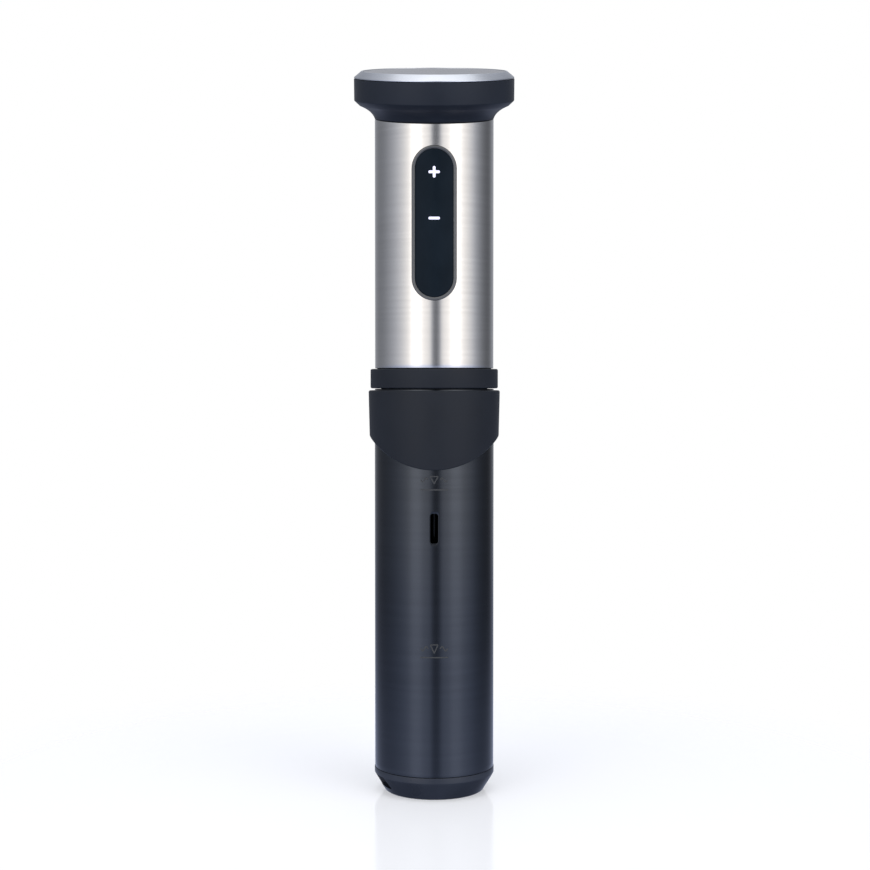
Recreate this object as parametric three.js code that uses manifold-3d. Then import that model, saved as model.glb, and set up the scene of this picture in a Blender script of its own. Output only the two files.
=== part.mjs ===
// Immersion circulator: a stick that heats and stirs a water bath. Millimetres, +Z up.
// The origin is the centre of the base cap's underside, the front is -Y and the water outlet faces -X.
import * as THREE from 'three';
import { mergeVertices } from 'three/addons/utils/BufferGeometryUtils.js';
import Module from 'manifold-3d';

const wasm = await Module();
wasm.setup();

// ---- Driving dimensions ----

const GAP = 0.3; // between two pieces that touch
const BIG_SIDES = 36; // facets round the large rings
const SMALL_SIDES = 12; // facets round pins, probes and holes

// Lengths along the stick
const CAP_HEIGHT = 11.9;
const SLEEVE_LENGTH = 192.2;
const RING_HEIGHT = 9.8;
const HANDLE_LENGTH = 126.4; // from the collar ring to the head's pivot, on the axis
const HEAD_TILT = THREE.MathUtils.degToRad(13.2); // the top leans towards the front

// Tubes
const TUBE_R = 30;
const TUBE_WALL = 0.8;
const SLEEVE_STANDOUT = 0.2; // how much wider than the handle tube the sleeve is, in radius
const SLEEVE_WALL = 0.8;

// Base cap
const CAP_CONE_INSET = 6.1; // how much smaller than the lip the foot is, in radius
const CAP_WALL = 2;
const CAP_LIP = 0.2; // stands proud of the sleeve
const CAP_SPIGOT_HEIGHT = 8;
const CAP_SPIGOT_WALL = 2.6;
const CAP_FOOT_FLARE = 0.8; // how far the cone's two ends stand from the foot's rim and the lip
const CAP_FOOT_EDGE = 0.5; // the height of the foot's bevelled rim
const CAP_CONE_TOP_Z = 7.7;
const CAP_LIP_LOW_Z = 9.2;
const CAP_LIP_BEVEL = 0.3;
const CAP_INSIDE_CONE_TOP_Z = 9;
const CAP_CONE_WALL = 1.4;
const OUTLET_FRONT_Y = -16.6;
const OUTLET_REAR_Y = -2;
const OUTLET_INNER_X = -15; // past the wall's inner face at the outlet's front edge
const OUTLET_LOW_Z = 3.2;
const OUTLET_HIGH_Z = 9.3;

// O-rings
const SEAL_SECTION_R = 0.6;
const SEAL_SQUEEZE_GAP = 0.3; // left between an O-ring and the bore round it
const GROOVE_DEPTH = 1.6;
const GROOVE_WIDTH = 2.8;

// Sleeve slots and cuff
const SLOT_WIDTH = 4;
const SLOT_LENGTH = 14.7;
const SLOT_MID_Z = 135.9;
const SLOT_CORNER_R = 1.2;
const CUFF_STANDOUT = 3.13; // at the cuff's top, beyond the sleeve
const CUFF_TAPER = 0.9; // how much the radius falls over the cuff's height
const CUFF_HEIGHT = 39;
const CUFF_EDGE = 0.5;
const CUFF_ARCH_R = 41;
const CUFF_TOP_BELOW_SLEEVE = 0.7;

// Collar ring and bulkhead
const RING_STANDOUT = 2.33; // beyond the handle tube
const RING_EDGE = 0.5;
const RING_SPIGOT_HEIGHT = 6;
const RING_SPIGOT_WALL = 1.6;
const PLUG_DEPTH = 18;
const PLUG_GAP = 0.4; // between the bulkhead plug and the sleeve
const BULKHEAD_FLOOR = 12.6;
const BULKHEAD_RIM_HEIGHT = 6.6; // above the sleeve
const BULKHEAD_RIM_WALL = 2.6;

// Wet end, hung from the bulkhead
const SHAFT_R = 2;
const RUNNING_GAP = 0.3;
const SHAFT_TUBE_R = 4.5;
const SHAFT_TUBE_WALL = 1.5;
const SHAFT_TUBE_LOW_Z = 40;
const SHAFT_TUBE_SEAT = 4;
const SHAFT_SEAL_R = 5.7;
const SHAFT_SEAL_HEIGHT = 5.4;
const IMPELLER_R = 18;
const IMPELLER_HEIGHT = 9;
const IMPELLER_BLADES = 6;
const BLADE_THICKNESS = 1.4;
const HUB_WALL = 3; // round the shaft, in the impeller and the fan
const IMPELLER_CLEARANCE = 2; // above the cap's floor
const HEATER_R = 3.25;
const HEATER_PITCH_R = 17;
const HEATER_BEND_TOP_Z = 66;
const HEATER_BEND_DEPTH = 20;
const HEATER_LEG_ANGLE = 45;
const PROBE_STUB = 4; // above the bulkhead's floor

// Dry end
const COUPLING_R = 5;
const COUPLING_HEIGHT = 13;
const POST_R = 2.4;
const POST_PITCH_R = 20.5;
const POST_HEIGHT = 19;
const MOUNT_GAP = 0.8; // between the motor mount and the collar ring's bore
const MOUNT_THICKNESS = 3;
const MOTOR_R = 16;
const MOTOR_HEIGHT = 35;
const MOTOR_BOSS_R = 4.5;
const MOTOR_SCREW_PITCH_R = 11;
const SCREW_R = 1.3;
const SCREW_HEAD_R = 2.4;
const SCREW_HEAD_HEIGHT = 1.8;
const FAN_R = 17;
const FAN_HEIGHT = 7.5;
const FAN_BLADES = 7;
const LEG_WIDTH = 6;
const LEG_DEPTH = 8;
const CHASSIS_GAP = 2.2; // between the chassis and the handle tube's bore
const CHASSIS_FAN_GAP = 3; // between the fan's tips and the chassis ring's bore
const LEG_FAN_GAP = 1.5;
const CHASSIS_RING_HEIGHT = 3;
const BOARD_THICKNESS = 1.6;
const BOARD_WIDTH = 40;
const BOARD_HEIGHT = 58;
const BOARD_BACK_Y = 9.5;

// Touch panel
const PANEL_WIDTH = 22;
const PANEL_HEIGHT = 75.5;
const PANEL_RISE = 33.1; // from the handle tube's lower end to the panel
const PANEL_RIM = 1.5;
const PANEL_DEPTH = 2.6;
const PANEL_PROUD = 0.15; // how far the rim stands out of the tube
const TOUCH_BOARD_INSET = 4.6; // from the handle tube's bore
const TOUCH_BOARD_WIDTH = 19;
const TOUCH_BOARD_MARGIN = 2.2; // shorter than the panel at each end
const ICON_ARM = 5.6;
const ICON_STROKE = 1.35;
const PLUS_BELOW_PANEL_TOP = 12.9;
const ICON_SPACING = 22.5;
const GUIDE_GAP = 0.4; // between the light guides and the touch board

// Head, along its own tilted axis from the pivot
const HEAD_OVERHANG = 10.3; // beyond the handle tube
const HEAD_WALL = 2;
const HEAD_FOOT_H = 9.1;
const HEAD_RIM_H = 19.65;
const HEAD_NECK_GAP = 2; // room for the neck to lean inside the handle tube
const HEAD_NECK_WALL = 2;
const HEAD_NECK_DEPTH = 6;
const BEZEL_HEIGHT = 3.35;
const BEZEL_LIP = 0.45;
const BEZEL_CHAMFER = 3.7;
const BEZEL_FLAT = 0.7;
const BEZEL_LEDGE = 1.9;
const GLASS_THICKNESS = 1.6;
const HEAD_BOARD_H = 14;
const HEAD_BOARD_INSET = 7.3; // from the head's outside
const HEAD_SCREW_INSET = 3; // from the display board's edge
const HEAD_BOSS_R = 3.2;
const GLAND_R = 4.5;
const GLAND_FLANGE_R = 5;
const GLAND_BORE = 3.2;
const GLAND_H = 14.4;

// Clamp, on the back of the cuff
const CLAMP_WIDTH = 22;
const CLAMP_EAR = 3.5;
const CLAMP_PIN_R = 1.5;
const CLAMP_BARREL_R = 5;
const CLAMP_BARREL_GAP = 1; // between the lever's barrel and the saddle
const CLAMP_PIN_BELOW_SLEEVE = 10.4;
const SADDLE_STANDOUT = 6.8; // the saddle's back, beyond the sleeve
const PAD_WIDTH = 18;
const PAD_HEIGHT = 12;
const PAD_BELOW_CUFF = 2.7;
const PAD_STANDOUT = 2.3; // the fixed pad's face, beyond the sleeve
const PAD_JAW_GAP = 2.4; // between the two pads with the clamp closed
const PAD_THICKNESS = 2;

// ---- Dimensions that follow ----

const SLEEVE_R = TUBE_R + SLEEVE_STANDOUT;
const SLEEVE_BORE = SLEEVE_R - SLEEVE_WALL;
const TUBE_BORE = TUBE_R - TUBE_WALL;
const SLEEVE_LOW_Z = CAP_HEIGHT + GAP;
const SLEEVE_TOP_Z = SLEEVE_LOW_Z + SLEEVE_LENGTH;
const RING_LOW_Z = SLEEVE_TOP_Z + GAP;
const RING_TOP_Z = RING_LOW_Z + RING_HEIGHT;
const TUBE_LOW_Z = RING_TOP_Z + GAP;
const PIVOT_Z = TUBE_LOW_Z + HANDLE_LENGTH;
const RING_R = TUBE_R + RING_STANDOUT;
const CUFF_TOP_R = SLEEVE_R + CUFF_STANDOUT;
const CUFF_TOP_Z = SLEEVE_TOP_Z - CUFF_TOP_BELOW_SLEEVE;
const CUFF_LOW_Z = CUFF_TOP_Z - CUFF_HEIGHT;
const PLUG_LOW_Z = SLEEVE_TOP_Z - PLUG_DEPTH;
const FLOOR_Z = PLUG_LOW_Z + BULKHEAD_FLOOR;
const RING_SPIGOT_R = TUBE_BORE - GAP;
const RING_BORE = RING_SPIGOT_R - RING_SPIGOT_WALL;
const BULKHEAD_RIM_R = RING_BORE - GAP;
const BULKHEAD_RIM_BORE = BULKHEAD_RIM_R - BULKHEAD_RIM_WALL;
const PLUG_R = SLEEVE_BORE - PLUG_GAP;
const SHAFT_HOLE_R = SHAFT_R + RUNNING_GAP;
const IMPELLER_LOW_Z = CAP_WALL + IMPELLER_CLEARANCE;
const SHAFT_JOIN_Z = FLOOR_Z + 9;
const COUPLING_LOW_Z = SHAFT_JOIN_Z - COUPLING_HEIGHT / 2;
const MOUNT_LOW_Z = FLOOR_Z + POST_HEIGHT;
const MOUNT_TOP_Z = MOUNT_LOW_Z + MOUNT_THICKNESS;
const MOTOR_LOW_Z = MOUNT_TOP_Z + GAP;
const MOTOR_TOP_Z = MOTOR_LOW_Z + MOTOR_HEIGHT;
const FAN_LOW_Z = MOTOR_TOP_Z + 2.2;
const FAN_TOP_Z = FAN_LOW_Z + FAN_HEIGHT;
const CHASSIS_RING_Z = FAN_TOP_Z + 2;
const BOARD_LOW_Z = CHASSIS_RING_Z + CHASSIS_RING_HEIGHT + 3;
const BOARD_FRONT_Y = BOARD_BACK_Y - BOARD_THICKNESS;
const CHASSIS_RING_R = TUBE_BORE - CHASSIS_GAP;
const CHASSIS_RING_BORE = FAN_R + CHASSIS_FAN_GAP;
const MOUNT_R = RING_BORE - MOUNT_GAP;
const SCREW_HOLE_R = SCREW_R + GAP;
const PANEL_LOW_Z = TUBE_LOW_Z + PANEL_RISE;
const PANEL_HIGH_Z = PANEL_LOW_Z + PANEL_HEIGHT;
const PANEL_MID_Z = (PANEL_LOW_Z + PANEL_HIGH_Z) / 2;
const PLUS_Z = PANEL_HIGH_Z - PLUS_BELOW_PANEL_TOP;
const MINUS_Z = PLUS_Z - ICON_SPACING;
const TOUCH_BOARD_Y = TOUCH_BOARD_INSET - TUBE_BORE;
const HEAD_R = TUBE_R + HEAD_OVERHANG;
const HEAD_NECK_R = TUBE_BORE - HEAD_NECK_GAP;
const BEZEL_TOP_R = HEAD_R - BEZEL_CHAMFER;
const BEZEL_BORE = BEZEL_TOP_R - BEZEL_FLAT;
const HEAD_BOARD_R = HEAD_R - HEAD_BOARD_INSET;
const HEAD_SCREW_PITCH_R = HEAD_BOARD_R - HEAD_SCREW_INSET;
const SADDLE_BACK_Y = SLEEVE_R + SADDLE_STANDOUT;
const CLAMP_PIN_Y = SADDLE_BACK_Y + CLAMP_BARREL_R + CLAMP_BARREL_GAP;
const PIN_Z = SLEEVE_TOP_Z - CLAMP_PIN_BELOW_SLEEVE;
const PAD_FIXED_Y = SLEEVE_R + PAD_STANDOUT;
const PAD_HIGH_Z = CUFF_LOW_Z - PAD_BELOW_CUFF;
const PAD_LOW_Z = PAD_HIGH_Z - PAD_HEIGHT;

// ---- Geometry helpers ----

// A geometry as a manifold-3d solid, with its doubled vertices merged.
function solid(geometry) {
  const bare = new THREE.BufferGeometry();
  const source = geometry.index ? geometry.toNonIndexed() : geometry;
  bare.setAttribute('position', source.getAttribute('position').clone());
  const merged = mergeVertices(bare, 1e-4);
  const index = merged.index.array;
  const kept = [];
  for (let i = 0; i < index.length; i += 3) {
    const [a, b, c] = [index[i], index[i + 1], index[i + 2]];
    if (a !== b && b !== c && c !== a) kept.push(a, b, c);
  }
  return new wasm.Manifold(
    new wasm.Mesh({
      numProp: 3,
      vertProperties: merged.attributes.position.array,
      triVerts: new Uint32Array(kept),
    }),
  );
}

// A manifold-3d solid as a geometry.
function geometryOf(shape) {
  const mesh = shape.getMesh();
  const geometry = new THREE.BufferGeometry();
  geometry.setAttribute('position', new THREE.BufferAttribute(new Float32Array(mesh.vertProperties), 3));
  geometry.setIndex(new THREE.BufferAttribute(new Uint32Array(mesh.triVerts), 1));
  geometry.computeVertexNormals();
  return geometry;
}

const join = (first, ...rest) => rest.reduce((whole, next) => whole.add(next), first);
const cut = (first, ...rest) => rest.reduce((whole, next) => whole.subtract(next), first);

// A solid turned round Z from its outline, given as [radius, height] points in either order.
function turned(outline, sides = BIG_SIDES) {
  const area = outline.reduce((sum, [r, z], i) => {
    const [nextR, nextZ] = outline[(i + 1) % outline.length];
    return sum + r * nextZ - nextR * z;
  }, 0);
  const ordered = area > 0 ? [...outline] : [...outline].reverse();
  const points = [...ordered, ordered[0]].map(([r, z]) => new THREE.Vector2(r, z));
  return solid(new THREE.LatheGeometry(points, sides).rotateX(Math.PI / 2));
}

const tube = (outer, inner, low, high, sides = BIG_SIDES) =>
  turned([[inner, low], [outer, low], [outer, high], [inner, high]], sides);

// An upright rod. at is its [x, y].
function rod(radius, low, high, at = [0, 0], sides = SMALL_SIDES) {
  const geometry = new THREE.CylinderGeometry(radius, radius, high - low, sides).rotateX(Math.PI / 2);
  return solid(geometry.translate(at[0], at[1], (low + high) / 2));
}

// A rod along X.
function crossRod(radius, half, y, z, sides = SMALL_SIDES) {
  const geometry = new THREE.CylinderGeometry(radius, radius, 2 * half, sides).rotateZ(Math.PI / 2);
  return solid(geometry.translate(0, y, z));
}

function block([x0, y0, z0], [x1, y1, z1]) {
  const geometry = new THREE.BoxGeometry(x1 - x0, y1 - y0, z1 - z0);
  return solid(geometry.translate((x0 + x1) / 2, (y0 + y1) / 2, (z0 + z1) / 2));
}

// A flat shape in X and Z, pushed through from nearY to farY.
function pushed(shape, nearY, farY, curveSegments = 12) {
  const geometry = new THREE.ExtrudeGeometry(shape, {
    depth: farY - nearY,
    bevelEnabled: false,
    curveSegments,
  });
  return solid(geometry.rotateX(Math.PI / 2).translate(0, farY, 0));
}

// An upright shape with fully round ends, centred at height midZ.
function oval(width, height, midZ) {
  const r = width / 2;
  const straight = height / 2 - r;
  const shape = new THREE.Shape();
  shape.moveTo(r, midZ - straight);
  shape.lineTo(r, midZ + straight);
  shape.absarc(0, midZ + straight, r, 0, Math.PI, false);
  shape.lineTo(-r, midZ - straight);
  shape.absarc(0, midZ - straight, r, Math.PI, 2 * Math.PI, false);
  return shape;
}

// An upright rectangle with rounded corners, centred at height midZ.
function roundedSlot(width, height, corner, midZ) {
  const x = width / 2 - corner;
  const z = height / 2 - corner;
  const shape = new THREE.Shape();
  shape.absarc(x, midZ + z, corner, 0, Math.PI / 2, false);
  shape.absarc(-x, midZ + z, corner, Math.PI / 2, Math.PI, false);
  shape.absarc(-x, midZ - z, corner, Math.PI, 1.5 * Math.PI, false);
  shape.absarc(x, midZ - z, corner, 1.5 * Math.PI, 2 * Math.PI, false);
  return shape;
}

// The [x, y] at a radius and an angle in degrees, counted from +X.
function polar(radius, degrees) {
  const angle = THREE.MathUtils.degToRad(degrees);
  return [radius * Math.cos(angle), radius * Math.sin(angle)];
}

// An O-ring round Z.
function sealRing(middleR, z) {
  const shape = new THREE.TorusGeometry(middleR, SEAL_SECTION_R, 6, BIG_SIDES);
  return solid(shape.translate(0, 0, z));
}

// ---- The scene graph ----

const circulator = new THREE.Group();
circulator.name = 'immersion_circulator';

// The head is built upright round its own axis, then leans forward as one.
const head = new THREE.Group();
head.position.z = PIVOT_Z;
head.rotation.x = HEAD_TILT;
circulator.add(head);

const finish = (color, roughness, metalness = 0) =>
  new THREE.MeshStandardMaterial({ color, roughness, metalness });

const FINISHES = {
  steel: finish(0xb9b7b3, 0.32, 1),
  coatedSteel: finish(0x3c4149, 0.42, 0.7),
  aluminium: finish(0xc9cacc, 0.3, 1),
  satinBlack: finish(0x33363c, 0.5),
  matteBlack: finish(0x2c2f34, 0.65),
  glossBlack: finish(0x1b2129, 0.12),
  glass: finish(0x2a2c33, 0.05),
  icon: finish(0xe1e1ff, 0.4),
  rimGrey: finish(0x6a6e74, 0.4),
  rubber: finish(0x26282b, 0.8),
  board: finish(0x1f5a3a, 0.6),
  copper: finish(0xa8672f, 0.4, 0.9),
  whitePlastic: finish(0xd8d6cf, 0.5),
  blueCan: finish(0x2a3f73, 0.4),
};

function add(name, shape, material, parent = circulator) {
  const mesh = new THREE.Mesh(geometryOf(shape), material);
  mesh.name = name;
  parent.add(mesh);
}

// Everything above the tilted plane that is height above the head's pivot, in the upright frame.
function aboveHeadPlane(height) {
  const reach = 4 * HEAD_R;
  const geometry = new THREE.BoxGeometry(reach, reach, reach).translate(0, 0, reach / 2 + height);
  return solid(geometry.rotateX(HEAD_TILT).translate(0, 0, PIVOT_Z));
}

// ---- Base cap ----

const capR = SLEEVE_R + CAP_LIP;
const spigotR = SLEEVE_BORE - GAP;
const spigotTop = CAP_HEIGHT + CAP_SPIGOT_HEIGHT;
const capGrooveZ = CAP_HEIGHT + CAP_SPIGOT_HEIGHT / 2;

function baseCap() {
  const grooveR = spigotR - GROOVE_DEPTH;
  const footR = capR - CAP_CONE_INSET;
  const outline = [
    [0, 0],
    [footR, 0],
    [footR + CAP_FOOT_FLARE, CAP_FOOT_EDGE],
    [capR - CAP_FOOT_FLARE, CAP_CONE_TOP_Z],
    [capR, CAP_LIP_LOW_Z],
    [capR, CAP_HEIGHT - CAP_LIP_BEVEL],
    [capR - CAP_LIP_BEVEL, CAP_HEIGHT],
    [spigotR, CAP_HEIGHT],
    [spigotR, capGrooveZ - GROOVE_WIDTH / 2],
    [grooveR, capGrooveZ - GROOVE_WIDTH / 2],
    [grooveR, capGrooveZ + GROOVE_WIDTH / 2],
    [spigotR, capGrooveZ + GROOVE_WIDTH / 2],
    [spigotR, spigotTop],
    [spigotR - CAP_SPIGOT_WALL, spigotTop],
    [spigotR - CAP_SPIGOT_WALL, CAP_INSIDE_CONE_TOP_Z],
    [footR - CAP_CONE_WALL, CAP_WALL],
    [0, CAP_WALL],
  ];
  const outletLow = [-capR - 5, OUTLET_FRONT_Y, OUTLET_LOW_Z];
  const outletHigh = [OUTLET_INNER_X, OUTLET_REAR_Y, OUTLET_HIGH_Z];
  return cut(turned(outline), block(outletLow, outletHigh));
}

add('base_cap', baseCap(), FINISHES.satinBlack);
add('cap_seal', sealRing(SLEEVE_BORE - SEAL_SQUEEZE_GAP - SEAL_SECTION_R, capGrooveZ), FINISHES.rubber);

// ---- Sleeve and cuff ----

function sleeve() {
  const shell = tube(SLEEVE_R, SLEEVE_BORE, SLEEVE_LOW_Z, SLEEVE_TOP_Z);
  const slot = roundedSlot(SLOT_WIDTH, SLOT_LENGTH, SLOT_CORNER_R, SLOT_MID_Z);
  const reach = SLEEVE_R + 5;
  return cut(shell, pushed(slot, -reach, reach, 4));
}

// The cuff's outside radius at height z.
const cuffR = (z) => CUFF_TOP_R - (CUFF_TAPER * (CUFF_TOP_Z - z)) / CUFF_HEIGHT;

function cuff() {
  const low = CUFF_LOW_Z - 4;
  const bore = SLEEVE_R + GAP;
  const blank = turned([
    [bore, low],
    [cuffR(low), low],
    [CUFF_TOP_R, CUFF_TOP_Z - CUFF_EDGE],
    [CUFF_TOP_R - CUFF_EDGE, CUFF_TOP_Z],
    [bore, CUFF_TOP_Z],
  ]);
  const reach = CUFF_TOP_R + 10;
  const arch = new THREE.CylinderGeometry(CUFF_ARCH_R, CUFF_ARCH_R, 2 * reach, 64);
  return blank.intersect(solid(arch.translate(0, 0, CUFF_LOW_Z + CUFF_ARCH_R)));
}

add('sleeve', sleeve(), FINISHES.coatedSteel);
add('cuff', cuff(), FINISHES.matteBlack);

// ---- Collar ring, handle tube and bulkhead ----

function collarRing() {
  return turned([
    [RING_BORE, RING_LOW_Z],
    [RING_R - RING_EDGE, RING_LOW_Z],
    [RING_R, RING_LOW_Z + RING_EDGE],
    [RING_R, RING_TOP_Z - RING_EDGE],
    [RING_R - RING_EDGE, RING_TOP_Z],
    [RING_SPIGOT_R, RING_TOP_Z],
    [RING_SPIGOT_R, RING_TOP_Z + RING_SPIGOT_HEIGHT],
    [RING_BORE, RING_TOP_Z + RING_SPIGOT_HEIGHT],
  ]);
}

function handleTube() {
  const shell = tube(TUBE_R, TUBE_BORE, TUBE_LOW_Z, PIVOT_Z + TUBE_R);
  const opening = oval(PANEL_WIDTH + 2 * GAP, PANEL_HEIGHT + 2 * GAP, PANEL_MID_Z);
  return cut(shell, aboveHeadPlane(-GAP), pushed(opening, -TUBE_R - 5, -TUBE_R / 2));
}

const POST_ANGLES = [90, 210, 330];
const LEG_ANGLES = [HEATER_LEG_ANGLE, 180 - HEATER_LEG_ANGLE];
const PROBES = [
  { name: 'temperature_probe', radius: 2, at: polar(17, 225), tip: 62 },
  { name: 'low_level_probe', radius: 1.5, at: polar(19, 285), tip: 72 },
  { name: 'common_level_probe', radius: 1.5, at: polar(19, 255), tip: 68 },
];

function bulkhead() {
  const grooveMid = (PLUG_LOW_Z + SLEEVE_TOP_Z) / 2;
  const grooveR = PLUG_R - GROOVE_DEPTH;
  const body = turned([
    [0, PLUG_LOW_Z],
    [PLUG_R, PLUG_LOW_Z],
    [PLUG_R, grooveMid - GROOVE_WIDTH / 2],
    [grooveR, grooveMid - GROOVE_WIDTH / 2],
    [grooveR, grooveMid + GROOVE_WIDTH / 2],
    [PLUG_R, grooveMid + GROOVE_WIDTH / 2],
    [PLUG_R, SLEEVE_TOP_Z],
    [BULKHEAD_RIM_R, SLEEVE_TOP_Z],
    [BULKHEAD_RIM_R, SLEEVE_TOP_Z + BULKHEAD_RIM_HEIGHT],
    [BULKHEAD_RIM_BORE, SLEEVE_TOP_Z + BULKHEAD_RIM_HEIGHT],
    [BULKHEAD_RIM_BORE, FLOOR_Z],
    [0, FLOOR_Z],
  ]);
  const below = PLUG_LOW_Z - 1;
  const above = FLOOR_Z + 1;
  const holes = [
    rod(SHAFT_HOLE_R + 0.4, below, above),
    rod(SHAFT_SEAL_R + GAP, FLOOR_Z - SHAFT_SEAL_HEIGHT - GAP, above, [0, 0], 24),
    rod(SHAFT_TUBE_R + GAP, below, PLUG_LOW_Z + SHAFT_TUBE_SEAT + GAP, [0, 0], 24),
    ...LEG_ANGLES.map((angle) => rod(HEATER_R + GAP, below, above, polar(HEATER_PITCH_R, angle))),
    ...PROBES.map((probe) => rod(probe.radius + GAP, below, above, probe.at)),
  ];
  return cut(body, ...holes);
}

add('collar_ring', collarRing(), FINISHES.matteBlack);
add('handle_tube', handleTube(), FINISHES.steel);
add('bulkhead', bulkhead(), FINISHES.matteBlack);
const bulkheadSealR = SLEEVE_BORE - SEAL_SQUEEZE_GAP - SEAL_SECTION_R;
add('bulkhead_seal', sealRing(bulkheadSealR, (PLUG_LOW_Z + SLEEVE_TOP_Z) / 2), FINISHES.rubber);

// ---- Wet end ----

// The heater's centre line: two upright legs joined by a bend that wraps round the axis.
class HeaterLine extends THREE.Curve {
  getPoint(t, target = new THREE.Vector3()) {
    const legTop = FLOOR_Z + PROBE_STUB;
    const legShare = 0.3;
    const sweep = 180 + 2 * HEATER_LEG_ANGLE;
    const onFirst = t < legShare;
    const onLast = t > 1 - legShare;
    if (onFirst || onLast) {
      const along = (onFirst ? t : 1 - t) / legShare;
      const [x, y] = polar(HEATER_PITCH_R, onFirst ? HEATER_LEG_ANGLE : 180 - HEATER_LEG_ANGLE);
      return target.set(x, y, THREE.MathUtils.lerp(legTop, HEATER_BEND_TOP_Z, along));
    }
    const turn = (Math.PI * (t - legShare)) / (1 - 2 * legShare);
    const [x, y] = polar(HEATER_PITCH_R, HEATER_LEG_ANGLE - (sweep * (1 - Math.cos(turn))) / 2);
    return target.set(x, y, HEATER_BEND_TOP_Z - HEATER_BEND_DEPTH * Math.sin(turn));
  }
}

function circle(radius) {
  const shape = new THREE.Shape();
  shape.absarc(0, 0, radius, 0, 2 * Math.PI, false);
  return shape;
}

function drawn(line, radius, steps, sides) {
  return solid(
    new THREE.ExtrudeGeometry(circle(radius), {
      extrudePath: line,
      steps,
      curveSegments: sides,
      bevelEnabled: false,
    }),
  );
}

// Flat blades round Z, from innerR to outerR, each pitched by an angle in degrees about its own length.
function bladesRound({ count, innerR, outerR, thickness, height, midZ, pitch = 0 }) {
  const blades = [];
  for (let i = 0; i < count; i += 1) {
    const geometry = new THREE.BoxGeometry(outerR - innerR, thickness, height);
    geometry.rotateX(THREE.MathUtils.degToRad(pitch)).translate((innerR + outerR) / 2, 0, midZ);
    blades.push(solid(geometry.rotateZ((2 * Math.PI * i) / count)));
  }
  return blades;
}

function impeller() {
  const top = IMPELLER_LOW_Z + IMPELLER_HEIGHT;
  const discTop = IMPELLER_LOW_Z + BLADE_THICKNESS;
  const disc = rod(IMPELLER_R, IMPELLER_LOW_Z, discTop, [0, 0], 32);
  const hub = rod(SHAFT_R + HUB_WALL, IMPELLER_LOW_Z, top, [0, 0], 24);
  const blades = bladesRound({
    count: IMPELLER_BLADES,
    innerR: SHAFT_R + HUB_WALL - 1,
    outerR: IMPELLER_R - 0.5,
    thickness: BLADE_THICKNESS,
    height: top - discTop + 0.7,
    midZ: (top + discTop - 0.7) / 2,
  });
  const bore = rod(SHAFT_HOLE_R, IMPELLER_LOW_Z - 1, top + 1);
  return cut(join(disc, hub, ...blades), bore);
}

function lowerBush() {
  const shoulder = SHAFT_TUBE_LOW_Z - GAP;
  return turned([
    [SHAFT_HOLE_R, shoulder - 3.5],
    [SHAFT_TUBE_R, shoulder - 3.5],
    [SHAFT_TUBE_R, shoulder],
    [SHAFT_TUBE_R - SHAFT_TUBE_WALL - GAP, shoulder],
    [SHAFT_TUBE_R - SHAFT_TUBE_WALL - GAP, shoulder + 7],
    [SHAFT_HOLE_R, shoulder + 7],
  ], 24);
}

add('heater_element', drawn(new HeaterLine(), HEATER_R, 44, 4), FINISHES.steel);
for (const probe of PROBES) {
  add(probe.name, rod(probe.radius, probe.tip, FLOOR_Z + PROBE_STUB, probe.at), FINISHES.steel);
}
const shaftTubeTop = PLUG_LOW_Z + SHAFT_TUBE_SEAT;
add(
  'shaft_tube',
  tube(SHAFT_TUBE_R, SHAFT_TUBE_R - SHAFT_TUBE_WALL, SHAFT_TUBE_LOW_Z, shaftTubeTop, 24),
  FINISHES.steel,
);
add('lower_bush', lowerBush(), FINISHES.whitePlastic);
const sealLow = FLOOR_Z - SHAFT_SEAL_HEIGHT;
add('shaft_seal', tube(SHAFT_SEAL_R, SHAFT_HOLE_R, sealLow, FLOOR_Z, 24), FINISHES.rubber);

// ---- Rotor ----

function coolingFan() {
  const blades = bladesRound({
    count: FAN_BLADES,
    innerR: SHAFT_R + HUB_WALL - 1,
    outerR: FAN_R - 0.5,
    thickness: 1,
    height: 8,
    midZ: (FAN_LOW_Z + FAN_TOP_Z) / 2,
    pitch: 50,
  });
  const hub = rod(SHAFT_R + HUB_WALL, FAN_LOW_Z, FAN_TOP_Z, [0, 0], 24);
  return cut(join(hub, ...blades), rod(SHAFT_HOLE_R, FAN_LOW_Z - 1, FAN_TOP_Z + 1));
}

add('drive_shaft', rod(SHAFT_R, IMPELLER_LOW_Z, SHAFT_JOIN_Z - GAP), FINISHES.steel);
add('motor_shaft', rod(SHAFT_R, SHAFT_JOIN_Z + GAP, FAN_TOP_Z), FINISHES.steel);
add('impeller', impeller(), FINISHES.whitePlastic);
const couplingTop = COUPLING_LOW_Z + COUPLING_HEIGHT;
add('shaft_coupling', tube(COUPLING_R, SHAFT_HOLE_R, COUPLING_LOW_Z, couplingTop, 24), FINISHES.aluminium);
add('cooling_fan', coolingFan(), FINISHES.matteBlack);

// ---- Motor ----

const MOTOR_SCREW_ANGLES = [0, 180];

function motorMount() {
  const plate = rod(MOUNT_R, MOUNT_LOW_Z, MOUNT_TOP_Z, [0, 0], 40);
  const posts = POST_ANGLES.map((angle) =>
    rod(POST_R, FLOOR_Z + GAP, MOUNT_LOW_Z + 1, polar(POST_PITCH_R, angle), 12));
  const holes = MOTOR_SCREW_ANGLES.map((angle) =>
    rod(SCREW_HOLE_R, MOUNT_LOW_Z - 1, MOUNT_TOP_Z + 1, polar(MOTOR_SCREW_PITCH_R, angle), 12));
  const bossHole = rod(MOTOR_BOSS_R + GAP, MOUNT_LOW_Z - 1, MOUNT_TOP_Z + 1, [0, 0], 24);
  return cut(join(plate, ...posts), bossHole, ...holes);
}

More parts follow.
